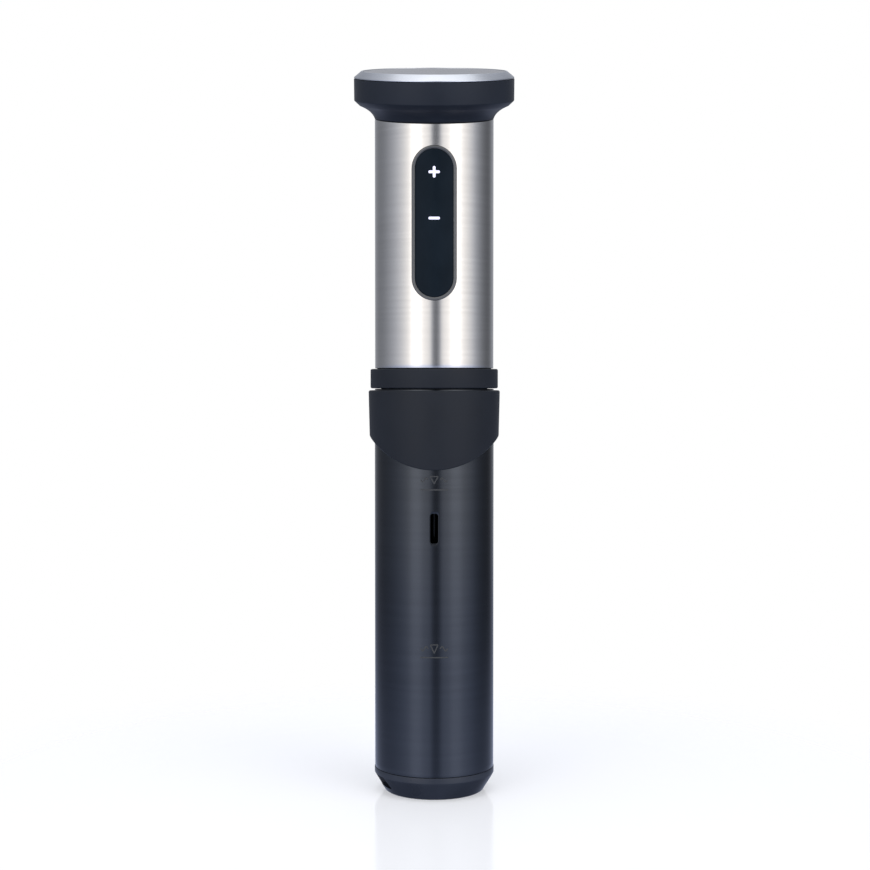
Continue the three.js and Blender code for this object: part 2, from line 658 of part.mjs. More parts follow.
function motor() {
  const can = turned([
    [SHAFT_HOLE_R, MOTOR_LOW_Z - 2],
    [MOTOR_BOSS_R, MOTOR_LOW_Z - 2],
    [MOTOR_BOSS_R, MOTOR_LOW_Z],
    [MOTOR_R, MOTOR_LOW_Z],
    [MOTOR_R, MOTOR_TOP_Z - 1],
    [MOTOR_R - 1, MOTOR_TOP_Z],
    [SHAFT_HOLE_R, MOTOR_TOP_Z],
  ], 32);
  const pilots = MOTOR_SCREW_ANGLES.map((angle) =>
    rod(SCREW_HOLE_R, MOTOR_LOW_Z - 1, MOTOR_LOW_Z + 5, polar(MOTOR_SCREW_PITCH_R, angle), 12));
  return cut(can, ...pilots);
}

// A pan-head screw whose head is above (up = 1) or below (up = -1) its seat.
function screw(at, seat, shankLength, up) {
  const headFar = seat + up * SCREW_HEAD_HEIGHT;
  const shankFar = seat - up * shankLength;
  const overlap = seat + up * 0.5;
  const headPart = rod(SCREW_HEAD_R, Math.min(seat, headFar), Math.max(seat, headFar), at, 12);
  const shank = rod(SCREW_R, Math.min(shankFar, overlap), Math.max(shankFar, overlap), at, 12);
  return join(headPart, shank);
}

add('motor_mount', motorMount(), FINISHES.aluminium);
add('motor', motor(), FINISHES.steel);
MOTOR_SCREW_ANGLES.forEach((angle, i) => {
  const shape = screw(polar(MOTOR_SCREW_PITCH_R, angle), MOUNT_LOW_Z - GAP, 7, -1);
  add(`motor_screw_${i + 1}`, shape, FINISHES.steel);
});

// ---- Chassis and power board ----

function chassis() {
  const ringTop = CHASSIS_RING_Z + CHASSIS_RING_HEIGHT;
  const ring = tube(CHASSIS_RING_R, CHASSIS_RING_BORE, CHASSIS_RING_Z, ringTop, 40);
  const legInner = FAN_R + LEG_FAN_GAP;
  const legs = [-1, 1].map((side) => {
    const x0 = side * legInner;
    const x1 = side * (legInner + LEG_WIDTH);
    return block(
      [Math.min(x0, x1), -LEG_DEPTH / 2, MOUNT_TOP_Z + GAP],
      [Math.max(x0, x1), LEG_DEPTH / 2, ringTop],
    );
  });
  const backY = BOARD_BACK_Y + 0.5;
  const backHalf = BOARD_WIDTH / 2 - 1;
  const plateTop = BOARD_LOW_Z + BOARD_HEIGHT - 6;
  const plate = block([-backHalf, backY, CHASSIS_RING_Z], [backHalf, backY + 2, plateTop]);
  const frontNotch = block(
    [-TOUCH_BOARD_WIDTH / 2 - 2, -CHASSIS_RING_R - 1, CHASSIS_RING_Z - 1],
    [TOUCH_BOARD_WIDTH / 2 + 2, TOUCH_BOARD_Y + BOARD_THICKNESS + 5, ringTop + 1],
  );
  return cut(join(ring, ...legs, plate), frontNotch);
}

function heatSink() {
  const front = BOARD_FRONT_Y - GAP;
  const low = BOARD_LOW_Z + 32;
  const high = low + 20;
  const base = block([5, front - 2, low], [18, front, high]);
  const fins = [5, 8.9, 12.8, 16.7].map((x) => block([x, front - 10, low], [x + 1.3, front - 1, high]));
  return join(base, ...fins);
}

add('chassis', chassis(), FINISHES.matteBlack);
const boardHalf = BOARD_WIDTH / 2;
const boardTop = BOARD_LOW_Z + BOARD_HEIGHT;
add(
  'power_board',
  block([-boardHalf, BOARD_FRONT_Y, BOARD_LOW_Z], [boardHalf, BOARD_BACK_Y, boardTop]),
  FINISHES.board,
);
const partsY = BOARD_FRONT_Y - GAP;

// A box-shaped part on the board's front: its span in X, its depth, and its span above the board's foot.
function onBoard([left, right], depth, [foot, top]) {
  return block([left, partsY - depth, BOARD_LOW_Z + foot], [right, partsY, BOARD_LOW_Z + top]);
}

const CAPACITOR_R = 5;
const capacitorAt = [9, partsY - CAPACITOR_R - 0.2];
add('transformer', onBoard([-19, -1], 14, [4, 24]), FINISHES.copper);
add('capacitor', rod(CAPACITOR_R, BOARD_LOW_Z + 4, BOARD_LOW_Z + 26, capacitorAt, 20), FINISHES.blueCan);
add('relay', onBoard([-18, -6], 11, [32, 48]), FINISHES.whitePlastic);
add('heat_sink', heatSink(), FINISHES.aluminium);

// ---- Touch panel ----

function plusShape(margin) {
  const arm = ICON_ARM / 2 + margin;
  const stroke = ICON_STROKE / 2 + margin;
  const near = -TUBE_R - 1;
  const far = TOUCH_BOARD_Y - GUIDE_GAP;
  const across = block([-arm, near, PLUS_Z - stroke], [arm, far, PLUS_Z + stroke]);
  const upright = block([-stroke, near, PLUS_Z - arm], [stroke, far, PLUS_Z + arm]);
  return join(across, upright);
}

function minusShape(margin) {
  const arm = ICON_ARM / 2 + margin;
  const stroke = ICON_STROKE / 2 + margin;
  return block([-arm, -TUBE_R - 1, MINUS_Z - stroke], [arm, TOUCH_BOARD_Y - GUIDE_GAP, MINUS_Z + stroke]);
}

// A shell that follows the handle's curve, depth deep, with its outside at radius outer.
const curvedShell = (outer, depth) => tube(outer, outer - depth, PANEL_LOW_Z - 3, PANEL_HIGH_Z + 3);

function panelFrame() {
  const outer = pushed(oval(PANEL_WIDTH, PANEL_HEIGHT, PANEL_MID_Z), -TUBE_R - 5, -TUBE_R / 2);
  const inner = oval(PANEL_WIDTH - 2 * PANEL_RIM, PANEL_HEIGHT - 2 * PANEL_RIM, PANEL_MID_Z);
  const rim = outer.intersect(curvedShell(TUBE_R + PANEL_PROUD, PANEL_DEPTH));
  return cut(rim, pushed(inner, -TUBE_R - 6, -TUBE_R / 2 + 1));
}

function touchPanel() {
  const inset = 2 * (PANEL_RIM + GAP);
  const face = oval(PANEL_WIDTH - inset, PANEL_HEIGHT - inset, PANEL_MID_Z);
  const blank = pushed(face, -TUBE_R - 5, -TUBE_R / 2).intersect(curvedShell(TUBE_R, PANEL_DEPTH));
  return cut(blank, plusShape(GAP), minusShape(GAP));
}

const guideShell = tube(TUBE_R - 0.1, -TOUCH_BOARD_Y + GUIDE_GAP, PANEL_LOW_Z, PANEL_HIGH_Z);
add('panel_frame', panelFrame(), FINISHES.rimGrey);
add('touch_panel', touchPanel(), FINISHES.glossBlack);
add('plus_light_guide', plusShape(0).intersect(guideShell), FINISHES.icon);
add('minus_light_guide', minusShape(0).intersect(guideShell), FINISHES.icon);
const touchHalf = TOUCH_BOARD_WIDTH / 2;
add(
  'touch_board',
  block(
    [-touchHalf, TOUCH_BOARD_Y, PANEL_LOW_Z + TOUCH_BOARD_MARGIN],
    [touchHalf, TOUCH_BOARD_Y + BOARD_THICKNESS, PANEL_HIGH_Z - TOUCH_BOARD_MARGIN],
  ),
  FINISHES.board,
);

// ---- Head ----

const HEAD_SCREW_ANGLES = [30, 150, 270];
const headScrewAt = (angle) => polar(HEAD_SCREW_PITCH_R, angle);

function headHousing() {
  const flare = new THREE.QuadraticBezierCurve(
    new THREE.Vector2(TUBE_R + 0.1, 0),
    new THREE.Vector2(TUBE_R + 1.4, 3.9),
    new THREE.Vector2(HEAD_R - 2.7, HEAD_FOOT_H - 2.7),
  );
  const neckBore = HEAD_NECK_R - HEAD_NECK_WALL;
  const shell = turned([
    [neckBore, -HEAD_NECK_DEPTH],
    [HEAD_NECK_R, -HEAD_NECK_DEPTH],
    [HEAD_NECK_R, 0],
    ...flare.getPoints(5).map((p) => [p.x, p.y]),
    [HEAD_R - 0.3, HEAD_FOOT_H - 0.5],
    [HEAD_R, HEAD_FOOT_H],
    [HEAD_R, HEAD_RIM_H],
    [HEAD_R - HEAD_WALL, HEAD_RIM_H],
    [HEAD_R - HEAD_WALL, HEAD_FOOT_H + 2.9],
    [HEAD_R - HEAD_WALL - 1.8, HEAD_FOOT_H + 1.1],
    [HEAD_NECK_R + 3, 5],
    [neckBore, 3.4],
  ]);
  const bossTop = HEAD_BOARD_H - GAP;
  const bosses = HEAD_SCREW_ANGLES.map((angle) => rod(HEAD_BOSS_R, 4.5, bossTop, headScrewAt(angle), 12));
  const pilots = HEAD_SCREW_ANGLES.map((angle) =>
    rod(SCREW_HOLE_R, 6.6, bossTop + 1, headScrewAt(angle), 12));
  return cut(join(shell, ...bosses), ...pilots, glandHole());
}

function glandHole() {
  const depth = 10;
  const geometry = new THREE.CylinderGeometry(GLAND_R + GAP, GLAND_R + GAP, depth, SMALL_SIDES);
  return solid(geometry.translate(0, HEAD_R, GLAND_H));
}

function cordGland() {
  const wallInside = HEAD_R - HEAD_WALL;
  const body = turned([
    [GLAND_BORE, wallInside - 2.7],
    [GLAND_R, wallInside - 2.7],
    [GLAND_R, HEAD_R + GAP],
    [GLAND_FLANGE_R, HEAD_R + GAP],
    [GLAND_FLANGE_R, HEAD_R + 2],
    [GLAND_FLANGE_R - 0.5, HEAD_R + 2.5],
    [GLAND_BORE, HEAD_R + 2.5],
  ], SMALL_SIDES);
  const geometry = geometryOf(body).rotateX(-Math.PI / 2);
  return solid(geometry.translate(0, 0, GLAND_H));
}

function bezelRing() {
  const low = HEAD_RIM_H + GAP;
  const high = low + BEZEL_HEIGHT;
  const ledgeTop = low + 1.05;
  return turned([
    [BEZEL_BORE - BEZEL_LEDGE, low],
    [HEAD_R - 0.1, low],
    [HEAD_R - 0.1, low + BEZEL_LIP],
    [BEZEL_TOP_R, high],
    [BEZEL_BORE, high],
    [BEZEL_BORE, ledgeTop],
    [BEZEL_BORE - BEZEL_LEDGE, ledgeTop],
  ]);
}

function displayBoard() {
  const disc = rod(HEAD_BOARD_R, HEAD_BOARD_H, HEAD_BOARD_H + BOARD_THICKNESS, [0, 0], 40);
  const holes = HEAD_SCREW_ANGLES.map((angle) =>
    rod(SCREW_HOLE_R, HEAD_BOARD_H - 1, HEAD_BOARD_H + BOARD_THICKNESS + 1, headScrewAt(angle), 12));
  return cut(disc, ...holes);
}

const headBoardTop = HEAD_BOARD_H + BOARD_THICKNESS;
const glassLow = HEAD_RIM_H + GAP + 1.05 + GAP;
add('head_housing', headHousing(), FINISHES.satinBlack, head);
add('bezel_ring', bezelRing(), FINISHES.aluminium, head);
const glassR = BEZEL_BORE - GAP;
const glass = rod(glassR, glassLow, glassLow + GLASS_THICKNESS, [0, 0], BIG_SIDES);
add('display_glass', glass, FINISHES.glass, head);
add('display_board', displayBoard(), FINISHES.board, head);
add(
  'display_module',
  block([-18, -8, headBoardTop + GAP], [18, 8, headBoardTop + GAP + 4]),
  FINISHES.whitePlastic,
  head,
);
add('buzzer', rod(5, HEAD_BOARD_H - 5, HEAD_BOARD_H - GAP, [14, 8], 20), FINISHES.matteBlack, head);
add('cord_gland', cordGland(), FINISHES.rubber, head);
HEAD_SCREW_ANGLES.forEach((angle, i) => {
  add(`head_screw_${i + 1}`, screw(headScrewAt(angle), headBoardTop + GAP, 8, 1), FINISHES.steel, head);
});

// ---- Clamp ----

const earX = CLAMP_WIDTH / 2;
const leverX = earX - CLAMP_EAR - GAP;

function clampBracket() {
  const low = PIN_Z - 8;
  const high = PIN_Z + 8;
  const saddle = block([-earX, SLEEVE_R - 4, low], [earX, SADDLE_BACK_Y, high]);
  const ears = [-1, 1].map((side) => {
    const x0 = side * (earX - CLAMP_EAR);
    const x1 = side * earX;
    const plate = block(
      [Math.min(x0, x1), SADDLE_BACK_Y - 1, PIN_Z - 6],
      [Math.max(x0, x1), CLAMP_PIN_Y, PIN_Z + 6],
    );
    const eye = new THREE.CylinderGeometry(6, 6, CLAMP_EAR, 24).rotateZ(Math.PI / 2);
    return join(plate, solid(eye.translate((x0 + x1) / 2, CLAMP_PIN_Y, PIN_Z)));
  });
  const room = rod(cuffR(high) + GAP, low - 1, high + 1, [0, 0], BIG_SIDES);
  const pinHole = crossRod(CLAMP_PIN_R + GAP, earX + 1, CLAMP_PIN_Y, PIN_Z);
  return cut(join(saddle, ...ears), room, pinHole);
}

// The lever's side view, as a shape in Y and Z: thumb tab above the pin, jaw arm below it.
function leverOutline() {
  const armY = PAD_FIXED_Y + PAD_JAW_GAP + PAD_THICKNESS + GAP;
  const outline = new THREE.Shape();
  outline.moveTo(armY, PAD_LOW_Z - 1);
  outline.lineTo(armY, PAD_HIGH_Z + 1);
  outline.lineTo(CLAMP_PIN_Y - 2.8, PAD_HIGH_Z + 5);
  outline.lineTo(CLAMP_PIN_Y - 2.8, PIN_Z - 8);
  outline.lineTo(CLAMP_PIN_Y - CLAMP_BARREL_R, PIN_Z);
  outline.lineTo(CLAMP_PIN_Y + 1.8, PIN_Z + 6);
  outline.lineTo(CLAMP_PIN_Y + 6, PIN_Z + 32);
  outline.lineTo(CLAMP_PIN_Y + 9.5, PIN_Z + 32);
  outline.lineTo(CLAMP_PIN_Y + CLAMP_BARREL_R, PIN_Z);
  outline.lineTo(CLAMP_PIN_Y + 1.4, PIN_Z - 9);
  outline.lineTo(CLAMP_PIN_Y + 1.2, PAD_HIGH_Z + 4);
  outline.lineTo(armY + 3.8, PAD_HIGH_Z);
  outline.lineTo(armY + 3.8, PAD_LOW_Z - 1);
  return outline;
}

function clampLever() {
  const geometry = new THREE.ExtrudeGeometry(leverOutline(), { depth: 2 * leverX, bevelEnabled: false });
  // The shape's own X and Y become Y and Z, and its depth becomes X.
  geometry.applyMatrix4(new THREE.Matrix4().set(0, 0, 1, -leverX, 1, 0, 0, 0, 0, 1, 0, 0, 0, 0, 0, 1));
  const barrel = crossRod(CLAMP_BARREL_R, leverX, CLAMP_PIN_Y, PIN_Z, 24);
  const springRoom = block([-3.4, CLAMP_PIN_Y - 7, PIN_Z - 5], [3.4, CLAMP_PIN_Y + 4.4, PIN_Z + 5]);
  const pinHole = crossRod(CLAMP_PIN_R + GAP, leverX + 1, CLAMP_PIN_Y, PIN_Z);
  return cut(join(solid(geometry), barrel), springRoom, pinHole);
}

// The torsion spring's centre line, wound round the clamp pin.
class SpringLine extends THREE.Curve {
  getPoint(t, target = new THREE.Vector3()) {
    const turns = 3.5;
    const coilR = 2.8;
    const half = 2.3;
    const angle = 2 * Math.PI * turns * t;
    const y = CLAMP_PIN_Y + coilR * Math.cos(angle);
    return target.set(THREE.MathUtils.lerp(-half, half, t), y, PIN_Z + coilR * Math.sin(angle));
  }
}

function fixedPad() {
  const half = PAD_WIDTH / 2;
  const blank = block([-half, SLEEVE_R - 4, PAD_LOW_Z], [half, PAD_FIXED_Y, PAD_HIGH_Z]);
  return cut(blank, rod(SLEEVE_R + GAP, PAD_LOW_Z - 1, PAD_HIGH_Z + 1, [0, 0], BIG_SIDES));
}

const jawPadY = PAD_FIXED_Y + PAD_JAW_GAP;
const jawHalf = leverX - 0.2;
add('clamp_bracket', clampBracket(), FINISHES.matteBlack);
add('clamp_lever', clampLever(), FINISHES.matteBlack);
add('clamp_pin', crossRod(CLAMP_PIN_R, earX - 0.2, CLAMP_PIN_Y, PIN_Z), FINISHES.steel);
add('clamp_spring', drawn(new SpringLine(), 0.45, 36, 3), FINISHES.steel);
add('clamp_fixed_pad', fixedPad(), FINISHES.rubber);
add(
  'clamp_jaw_pad',
  block([-jawHalf, jawPadY, PAD_LOW_Z], [jawHalf, jawPadY + PAD_THICKNESS, PAD_HIGH_Z]),
  FINISHES.rubber,
);

export default circulator;
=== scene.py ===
import math

import bmesh
import bpy
from mathutils import Matrix, Vector


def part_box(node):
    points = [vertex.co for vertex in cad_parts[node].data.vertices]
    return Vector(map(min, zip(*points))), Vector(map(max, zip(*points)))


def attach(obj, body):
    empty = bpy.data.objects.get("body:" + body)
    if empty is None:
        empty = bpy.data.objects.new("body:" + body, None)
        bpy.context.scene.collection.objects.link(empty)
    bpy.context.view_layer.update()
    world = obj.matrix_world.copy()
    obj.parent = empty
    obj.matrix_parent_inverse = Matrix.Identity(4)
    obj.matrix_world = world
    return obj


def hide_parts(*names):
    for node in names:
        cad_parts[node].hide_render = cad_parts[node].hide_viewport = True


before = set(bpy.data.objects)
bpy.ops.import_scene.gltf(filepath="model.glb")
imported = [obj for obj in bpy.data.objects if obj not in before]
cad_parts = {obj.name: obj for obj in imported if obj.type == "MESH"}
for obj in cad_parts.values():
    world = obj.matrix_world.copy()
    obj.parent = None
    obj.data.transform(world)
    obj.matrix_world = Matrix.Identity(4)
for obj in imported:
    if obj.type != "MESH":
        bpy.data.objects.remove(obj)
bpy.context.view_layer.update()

MM = 0.001
SLIVER = 0.002  # mm; points closer than this are one point
BIG_STEPS = 160  # faces round the large rings
SMALL_STEPS = 48  # faces round shafts, probes and pins
SHARP_ANGLE = math.radians(34)  # edges turning more than this shade as edges
NUDGE = 1.0  # how far a cutter runs past what it cuts
GAP = 0.3  # between two pieces that touch
WALL_PITCH = 2.5  # between the levels of points up a straight wall


# ---- Sizes, read from the frame ----


def span(node):
    """Lowest and highest corner of a CAD node, in millimetres."""
    low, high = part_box(node)
    return low / MM, high / MM


HEAD_TILT = math.radians(13.2)
CAP_R = span("base_cap")[1].x
CAP_TOP_Z = span("sleeve")[0].z - GAP
SLEEVE_R = span("sleeve")[1].x
SLEEVE_LOW_Z = span("sleeve")[0].z
SLEEVE_TOP_Z = span("sleeve")[1].z
CUFF_R = span("cuff")[1].x
CUFF_LOW_Z = span("cuff")[0].z
CUFF_TOP_Z = span("cuff")[1].z
RING_R = span("collar_ring")[1].x
RING_LOW_Z = span("collar_ring")[0].z
RING_SPIGOT_TOP_Z = span("collar_ring")[1].z
TUBE_R = span("handle_tube")[1].x
TUBE_LOW_Z = span("handle_tube")[0].z
PANEL_LOW, PANEL_HIGH = span("panel_frame")
GLASS_LOW, GLASS_HIGH = span("display_glass")
GLASS_MIDDLE = (GLASS_LOW + GLASS_HIGH) / 2
PIVOT_Z = GLASS_MIDDLE.z + GLASS_MIDDLE.y / math.tan(HEAD_TILT)
HEAD_R = span("head_housing")[1].x
HEAD_FRAME = Matrix.Translation((0, 0, PIVOT_Z * MM)) @ Matrix.Rotation(HEAD_TILT, 4, "X")

WALL = 0.8  # of the sleeve and the handle tube
RING_TOP_Z = TUBE_LOW_Z - GAP


# ---- Outlines ----


def spread(low, high, steps):
    """steps + 1 evenly spaced numbers."""
    return [low + (high - low) * i / steps for i in range(steps + 1)]


def at_angle(radius, angle, z=0):
    return Vector((radius * math.cos(angle), radius * math.sin(angle), z))


def rounded(points, steps=5, closed=True):
    """An outline of (x, y) or (x, y, radius) points, with an arc of that radius at each such corner."""
    made = []
    count = len(points)
    for i, point in enumerate(points):
        corner = Vector(point[:2])
        at_end = not closed and i in (0, count - 1)
        if len(point) < 3 or at_end:
            made.append(corner)
            continue
        before = Vector(points[i - 1][:2]) - corner
        after = Vector(points[(i + 1) % count][:2]) - corner
        half = before.angle(after) / 2
        reach = min(point[2] / math.tan(half), 0.49 * before.length, 0.49 * after.length)
        radius = reach * math.tan(half)
        middle = (before.normalized() + after.normalized()).normalized()
        centre = corner + middle * (radius / math.sin(half))
        start = corner + before.normalized() * reach - centre
        end = corner + after.normalized() * reach - centre
        turn = math.pi - 2 * half
        for k in range(steps + 1):
            share = k / steps
            arm = start * math.sin((1 - share) * turn) + end * math.sin(share * turn)
            made.append(centre + arm / math.sin(turn))
    return made


def circle(radius, centre=(0, 0), steps=SMALL_STEPS):
    angles = [2 * math.pi * i / steps for i in range(steps)]
    return [Vector(centre) + radius * Vector((math.cos(a), math.sin(a))) for a in angles]


def stadium(width, height, middle, arc_steps=24, side_steps=16):
    """An upright outline with fully round ends, as (x, z), counted from the right-hand side's foot."""
    r = width / 2
    straight = height / 2 - r
    points = []
    for side in (1, -1):
        for i in range(side_steps):
            points.append(Vector((side * r, middle - side * (straight - 2 * straight * i / side_steps))))
        for i in range(arc_steps):
            a = math.pi * i / arc_steps
            points.append(Vector((side * r * math.cos(a), middle + side * (straight + r * math.sin(a)))))
    return points


def slot_outline(width, height, corner, middle):
    half_w, low, high = width / 2, middle - height / 2, middle + height / 2
    return [(half_w, low, corner), (half_w, high, corner), (-half_w, high, corner), (-half_w, low, corner)]


def upright(radius, low, high):
    """Points up a straight wall, close enough that a cut in it bends the shading only round itself."""
    steps = round((high - low) / WALL_PITCH)
    return [(radius, z) for z in spread(low, high, steps)[1:-1]]


# ---- Meshes ----


def in_scene(name, data):
    obj = bpy.data.objects.new(name, data)
    bpy.context.scene.collection.objects.link(obj)
    return obj


def new_object(name, bm):
    bmesh.ops.recalc_face_normals(bm, faces=bm.faces)
    mesh = bpy.data.meshes.new(name)
    bm.to_mesh(mesh)
    bm.free()
    return in_scene(name, mesh)


def bridge(bm, rings, closed):
    """Faces between neighbouring rings of the same number of vertices."""
    pairs = list(zip(rings, rings[1:]))
    if closed:
        pairs.append((rings[-1], rings[0]))
    for one, two in pairs:
        for k in range(len(one)):
            nxt = (k + 1) % len(one)
            corners = list(dict.fromkeys([one[k], one[nxt], two[nxt], two[k]]))
            if len(corners) > 2:
                bm.faces.new(corners)


def lathe(name, points, corner_steps=5, steps=BIG_STEPS, reshape=None):
    """A solid turned round Z from a closed outline of (radius, height[, corner]). reshape moves a point."""
    bm = bmesh.new()
    rings = []
    for r, z in rounded(points, corner_steps):
        if r < 1e-6:
            rings.append([bm.verts.new((0, 0, z))] * steps)
            continue
        ring = []
        for i in range(steps):
            point = at_angle(r, 2 * math.pi * i / steps, z)
            ring.append(bm.verts.new(reshape(point) if reshape else point))
        rings.append(ring)
    bridge(bm, rings, closed=True)
    return new_object(name, bm)


AXES = {
    "X": lambda p, depth: Vector((depth, p[0], p[1])),
    "Y": lambda p, depth: Vector((p[0], depth, p[1])),
    "Z": lambda p, depth: Vector((p[0], p[1], depth)),
}


def prism(name, points, low, high, axis="Z", corner_steps=5):
    """A closed outline pushed along an axis. It is drawn in the other two axes, in their order."""
    outline = rounded(points, corner_steps)
    bm = bmesh.new()
    near = [bm.verts.new(AXES[axis](p, low)) for p in outline]
    far = [bm.verts.new(AXES[axis](p, high)) for p in outline]
    bridge(bm, [near, far], closed=False)
    bm.faces.new(near)
    bm.faces.new(far)
    return new_object(name, bm)


def sweep(name, path, radius, sides=20):
    """A round wire along points, with domed ends."""
    points = [Vector(p) for p in path]
    first = (points[0] - points[1]).normalized()
    last = (points[-1] - points[-2]).normalized()
    dome = [(0.35, 0.94), (0.7, 0.71), (0.95, 0.31)]
    starts = [(points[0] + first * radius * s, radius * c) for s, c in reversed(dome)]
    ends = [(points[-1] + last * radius * s, radius * c) for s, c in dome]
    stations = starts + [(p, radius) for p in points] + ends
    bm = bmesh.new()
    rings = []
    normal = None
    for i, (point, r) in enumerate(stations):
        before = stations[max(i - 1, 0)][0]
        after = stations[min(i + 1, len(stations) - 1)][0]
        along = (after - before).normalized()
        if normal is None:
            normal = along.orthogonal()
        normal = (normal - along * normal.dot(along)).normalized()
        side = along.cross(normal)
        turns = [2 * math.pi * k / sides for k in range(sides)]
        rings.append([bm.verts.new(point + r * (math.cos(t) * normal + math.sin(t) * side)) for t in turns])
    bridge(bm, rings, closed=False)
    bm.faces.new(rings[0])
    bm.faces.new(rings[-1])
    return new_object(name, bm)


def bake_modifiers(obj):
    graph = bpy.context.evaluated_depsgraph_get()
    graph.update()
    made = bpy.data.meshes.new_from_object(obj.evaluated_get(graph))
    old = obj.data
    obj.modifiers.clear()
    obj.data = made
    bpy.data.meshes.remove(old)
    return obj


def combine(obj, tool, operation):
    modifier = obj.modifiers.new("combine", "BOOLEAN")
    modifier.operation = operation
    modifier.solver = "EXACT"
    modifier.object = tool
    bake_modifiers(obj)
    bpy.data.objects.remove(tool)
    return obj


def cut(obj, *tools):
    for tool in tools:
        combine(obj, tool, "DIFFERENCE")
    return obj


def join(obj, *others):
    for other in others:
        combine(obj, other, "UNION")
    return obj


def soften(obj, width, segments=3, angle=40):
    """Rounds every edge that turns by more than angle degrees."""
    modifier = obj.modifiers.new("soften", "BEVEL")
    modifier.width = width
    modifier.segments = segments
    modifier.limit_method = "ANGLE"
    modifier.angle_limit = math.radians(angle)
    return bake_modifiers(obj)


def clear_slivers(mesh):
    """Joins points that a cut left on top of each other and drops the faces with no area between them."""
    bm = bmesh.new()
    bm.from_mesh(mesh)
    bmesh.ops.remove_doubles(bm, verts=bm.verts, dist=SLIVER)
    bmesh.ops.dissolve_degenerate(bm, dist=SLIVER, edges=bm.edges)
    bm.to_mesh(mesh)
    bm.free()


def settle(obj, body, material, nodes=(), place=None):
    """Millimetres become metres, the piece gets its material and its body, and the CAD nodes it stands for
    are hidden.
    place puts a piece made round the head's own axis into the object's frame."""
    clear_slivers(obj.data)
    obj.data.transform((place or Matrix()) @ Matrix.Scale(MM, 4))
    obj.data.shade_smooth()
    obj.data.set_sharp_from_angle(angle=SHARP_ANGLE)
    obj.data.materials.clear()
    obj.data.materials.append(material)
    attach(obj, body)
    if nodes:
        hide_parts(*nodes)
    return obj


# ---- Materials ----


def add_node(tree, kind, **settings):
    made = tree.nodes.new(kind)
    for key, value in settings.items():
        setattr(made, key, value)
    return made


def feed(node, **values):
    """Sets a node's input sockets, each named in small letters with _ for a space."""
    for name, value in values.items():
        node.inputs[name.replace("_", " ").title().replace("Ior", "IOR")].default_value = value


class Finish:
    """A node material round one Principled shader. Sizes in its textures are in millimetres."""

    def __init__(self, name, colour, roughness, metallic=0.0, **sockets):
        self.material = bpy.data.materials.new(name)
        self.material.use_nodes = True
        self.tree = self.material.node_tree
        self.shader = self.tree.nodes["Principled BSDF"]
        self.colour = colour
        self.roughness = roughness
        feed(self.shader, base_color=(*colour, 1), roughness=roughness, metallic=metallic, **sockets)
        self.height = None

    def node(self, kind, **settings):
        return add_node(self.tree, kind, **settings)

    def link(self, source, target):
        self.tree.links.new(source, target)

    def place(self, grain, on_head=False):
        """Texture space in which one unit is grain, a size or (x, y, z) sizes in millimetres."""
        sizes = (grain,) * 3 if isinstance(grain, (int, float)) else grain
        coordinates = self.node("ShaderNodeTexCoord")
        start = coordinates.outputs["Object"]
        if on_head:
            tilted = self.node("ShaderNodeMapping", vector_type="TEXTURE")
            feed(tilted, location=(0, 0, PIVOT_Z * MM), rotation=(HEAD_TILT, 0, 0))
            self.link(start, tilted.inputs["Vector"])
            start = tilted.outputs["Vector"]
        scaled = self.node("ShaderNodeVectorMath", operation="MULTIPLY")
        self.link(start, scaled.inputs[0])
        scaled.inputs[1].default_value = [1 / (s * MM) for s in sizes]
        return scaled.outputs[0]

    def noise(self, grain, detail=2.0, where=None):
        made = self.node("ShaderNodeTexNoise")
        feed(made, scale=1.0, detail=detail)
        self.link(where or self.place(grain), made.inputs["Vector"])
        return made.outputs["Fac"]

    def ranged(self, value, low, high, start=0.3, end=0.7):
        made = self.node("ShaderNodeMapRange", clamp=True)
        feed(made, from_min=start, from_max=end, to_min=low, to_max=high)
        self.link(value, made.inputs["Value"])
        return made.outputs["Result"]

    def vary_roughness(self, value, spread):
        low, high = self.roughness * (1 - spread), self.roughness * (1 + spread)
        self.link(self.ranged(value, low, high), self.shader.inputs["Roughness"])
        return self

    def mixed(self, value, one, two, socket):
        """Fills a socket of the shader with a colour from one to two, as value goes from 0.3 to 0.7."""
        mix = self.node("ShaderNodeMix", data_type="RGBA")
        feed(mix, a=(*one, 1), b=(*two, 1))
        self.link(self.ranged(value, 0, 1), mix.inputs["Factor"])
        self.link(mix.outputs["Result"], self.shader.inputs[socket])
        return self

    def vary_colour(self, value, spread, other=None):
        """From darker by spread to other, or to lighter by spread."""
        dark = [c * (1 - spread) for c in self.colour]
        light = other or [min(1, c * (1 + spread)) for c in self.colour]
        return self.mixed(value, dark, light, "Base Color")

    def bump(self, value, depth, strength=1.0):
        """depth is the height of the texture in millimetres."""
        made = self.node("ShaderNodeBump")
        feed(made, strength=strength, distance=depth * MM)
        self.link(value, made.inputs["Height"])
        if self.height is not None:
            self.link(self.height, made.inputs["Normal"])
        self.height = made.outputs["Normal"]
        self.link(self.height, self.shader.inputs["Normal"])
        return self

    def tangent_round(self):
        made = self.node("ShaderNodeTangent", direction_type="RADIAL", axis="Z")
        self.link(made.outputs["Tangent"], self.shader.inputs["Tangent"])
        return self


def brushed(name, colour, roughness, anisotropic, streak, metallic=1.0, depth=0.004, tint=0.05, **more):
    """Metal brushed round its axis: long streaks round Z, each streak high in millimetres."""
    made = Finish(name, colour, roughness, metallic, anisotropic=anisotropic, **more)
    fine = made.noise((26, 26, streak), detail=3)
    broad = made.noise((60, 60, 9 * streak), detail=2)
    made.vary_roughness(fine, 0.22)
    made.vary_colour(broad, tint)
    made.bump(fine, depth, 0.35)
    return made.tangent_round()


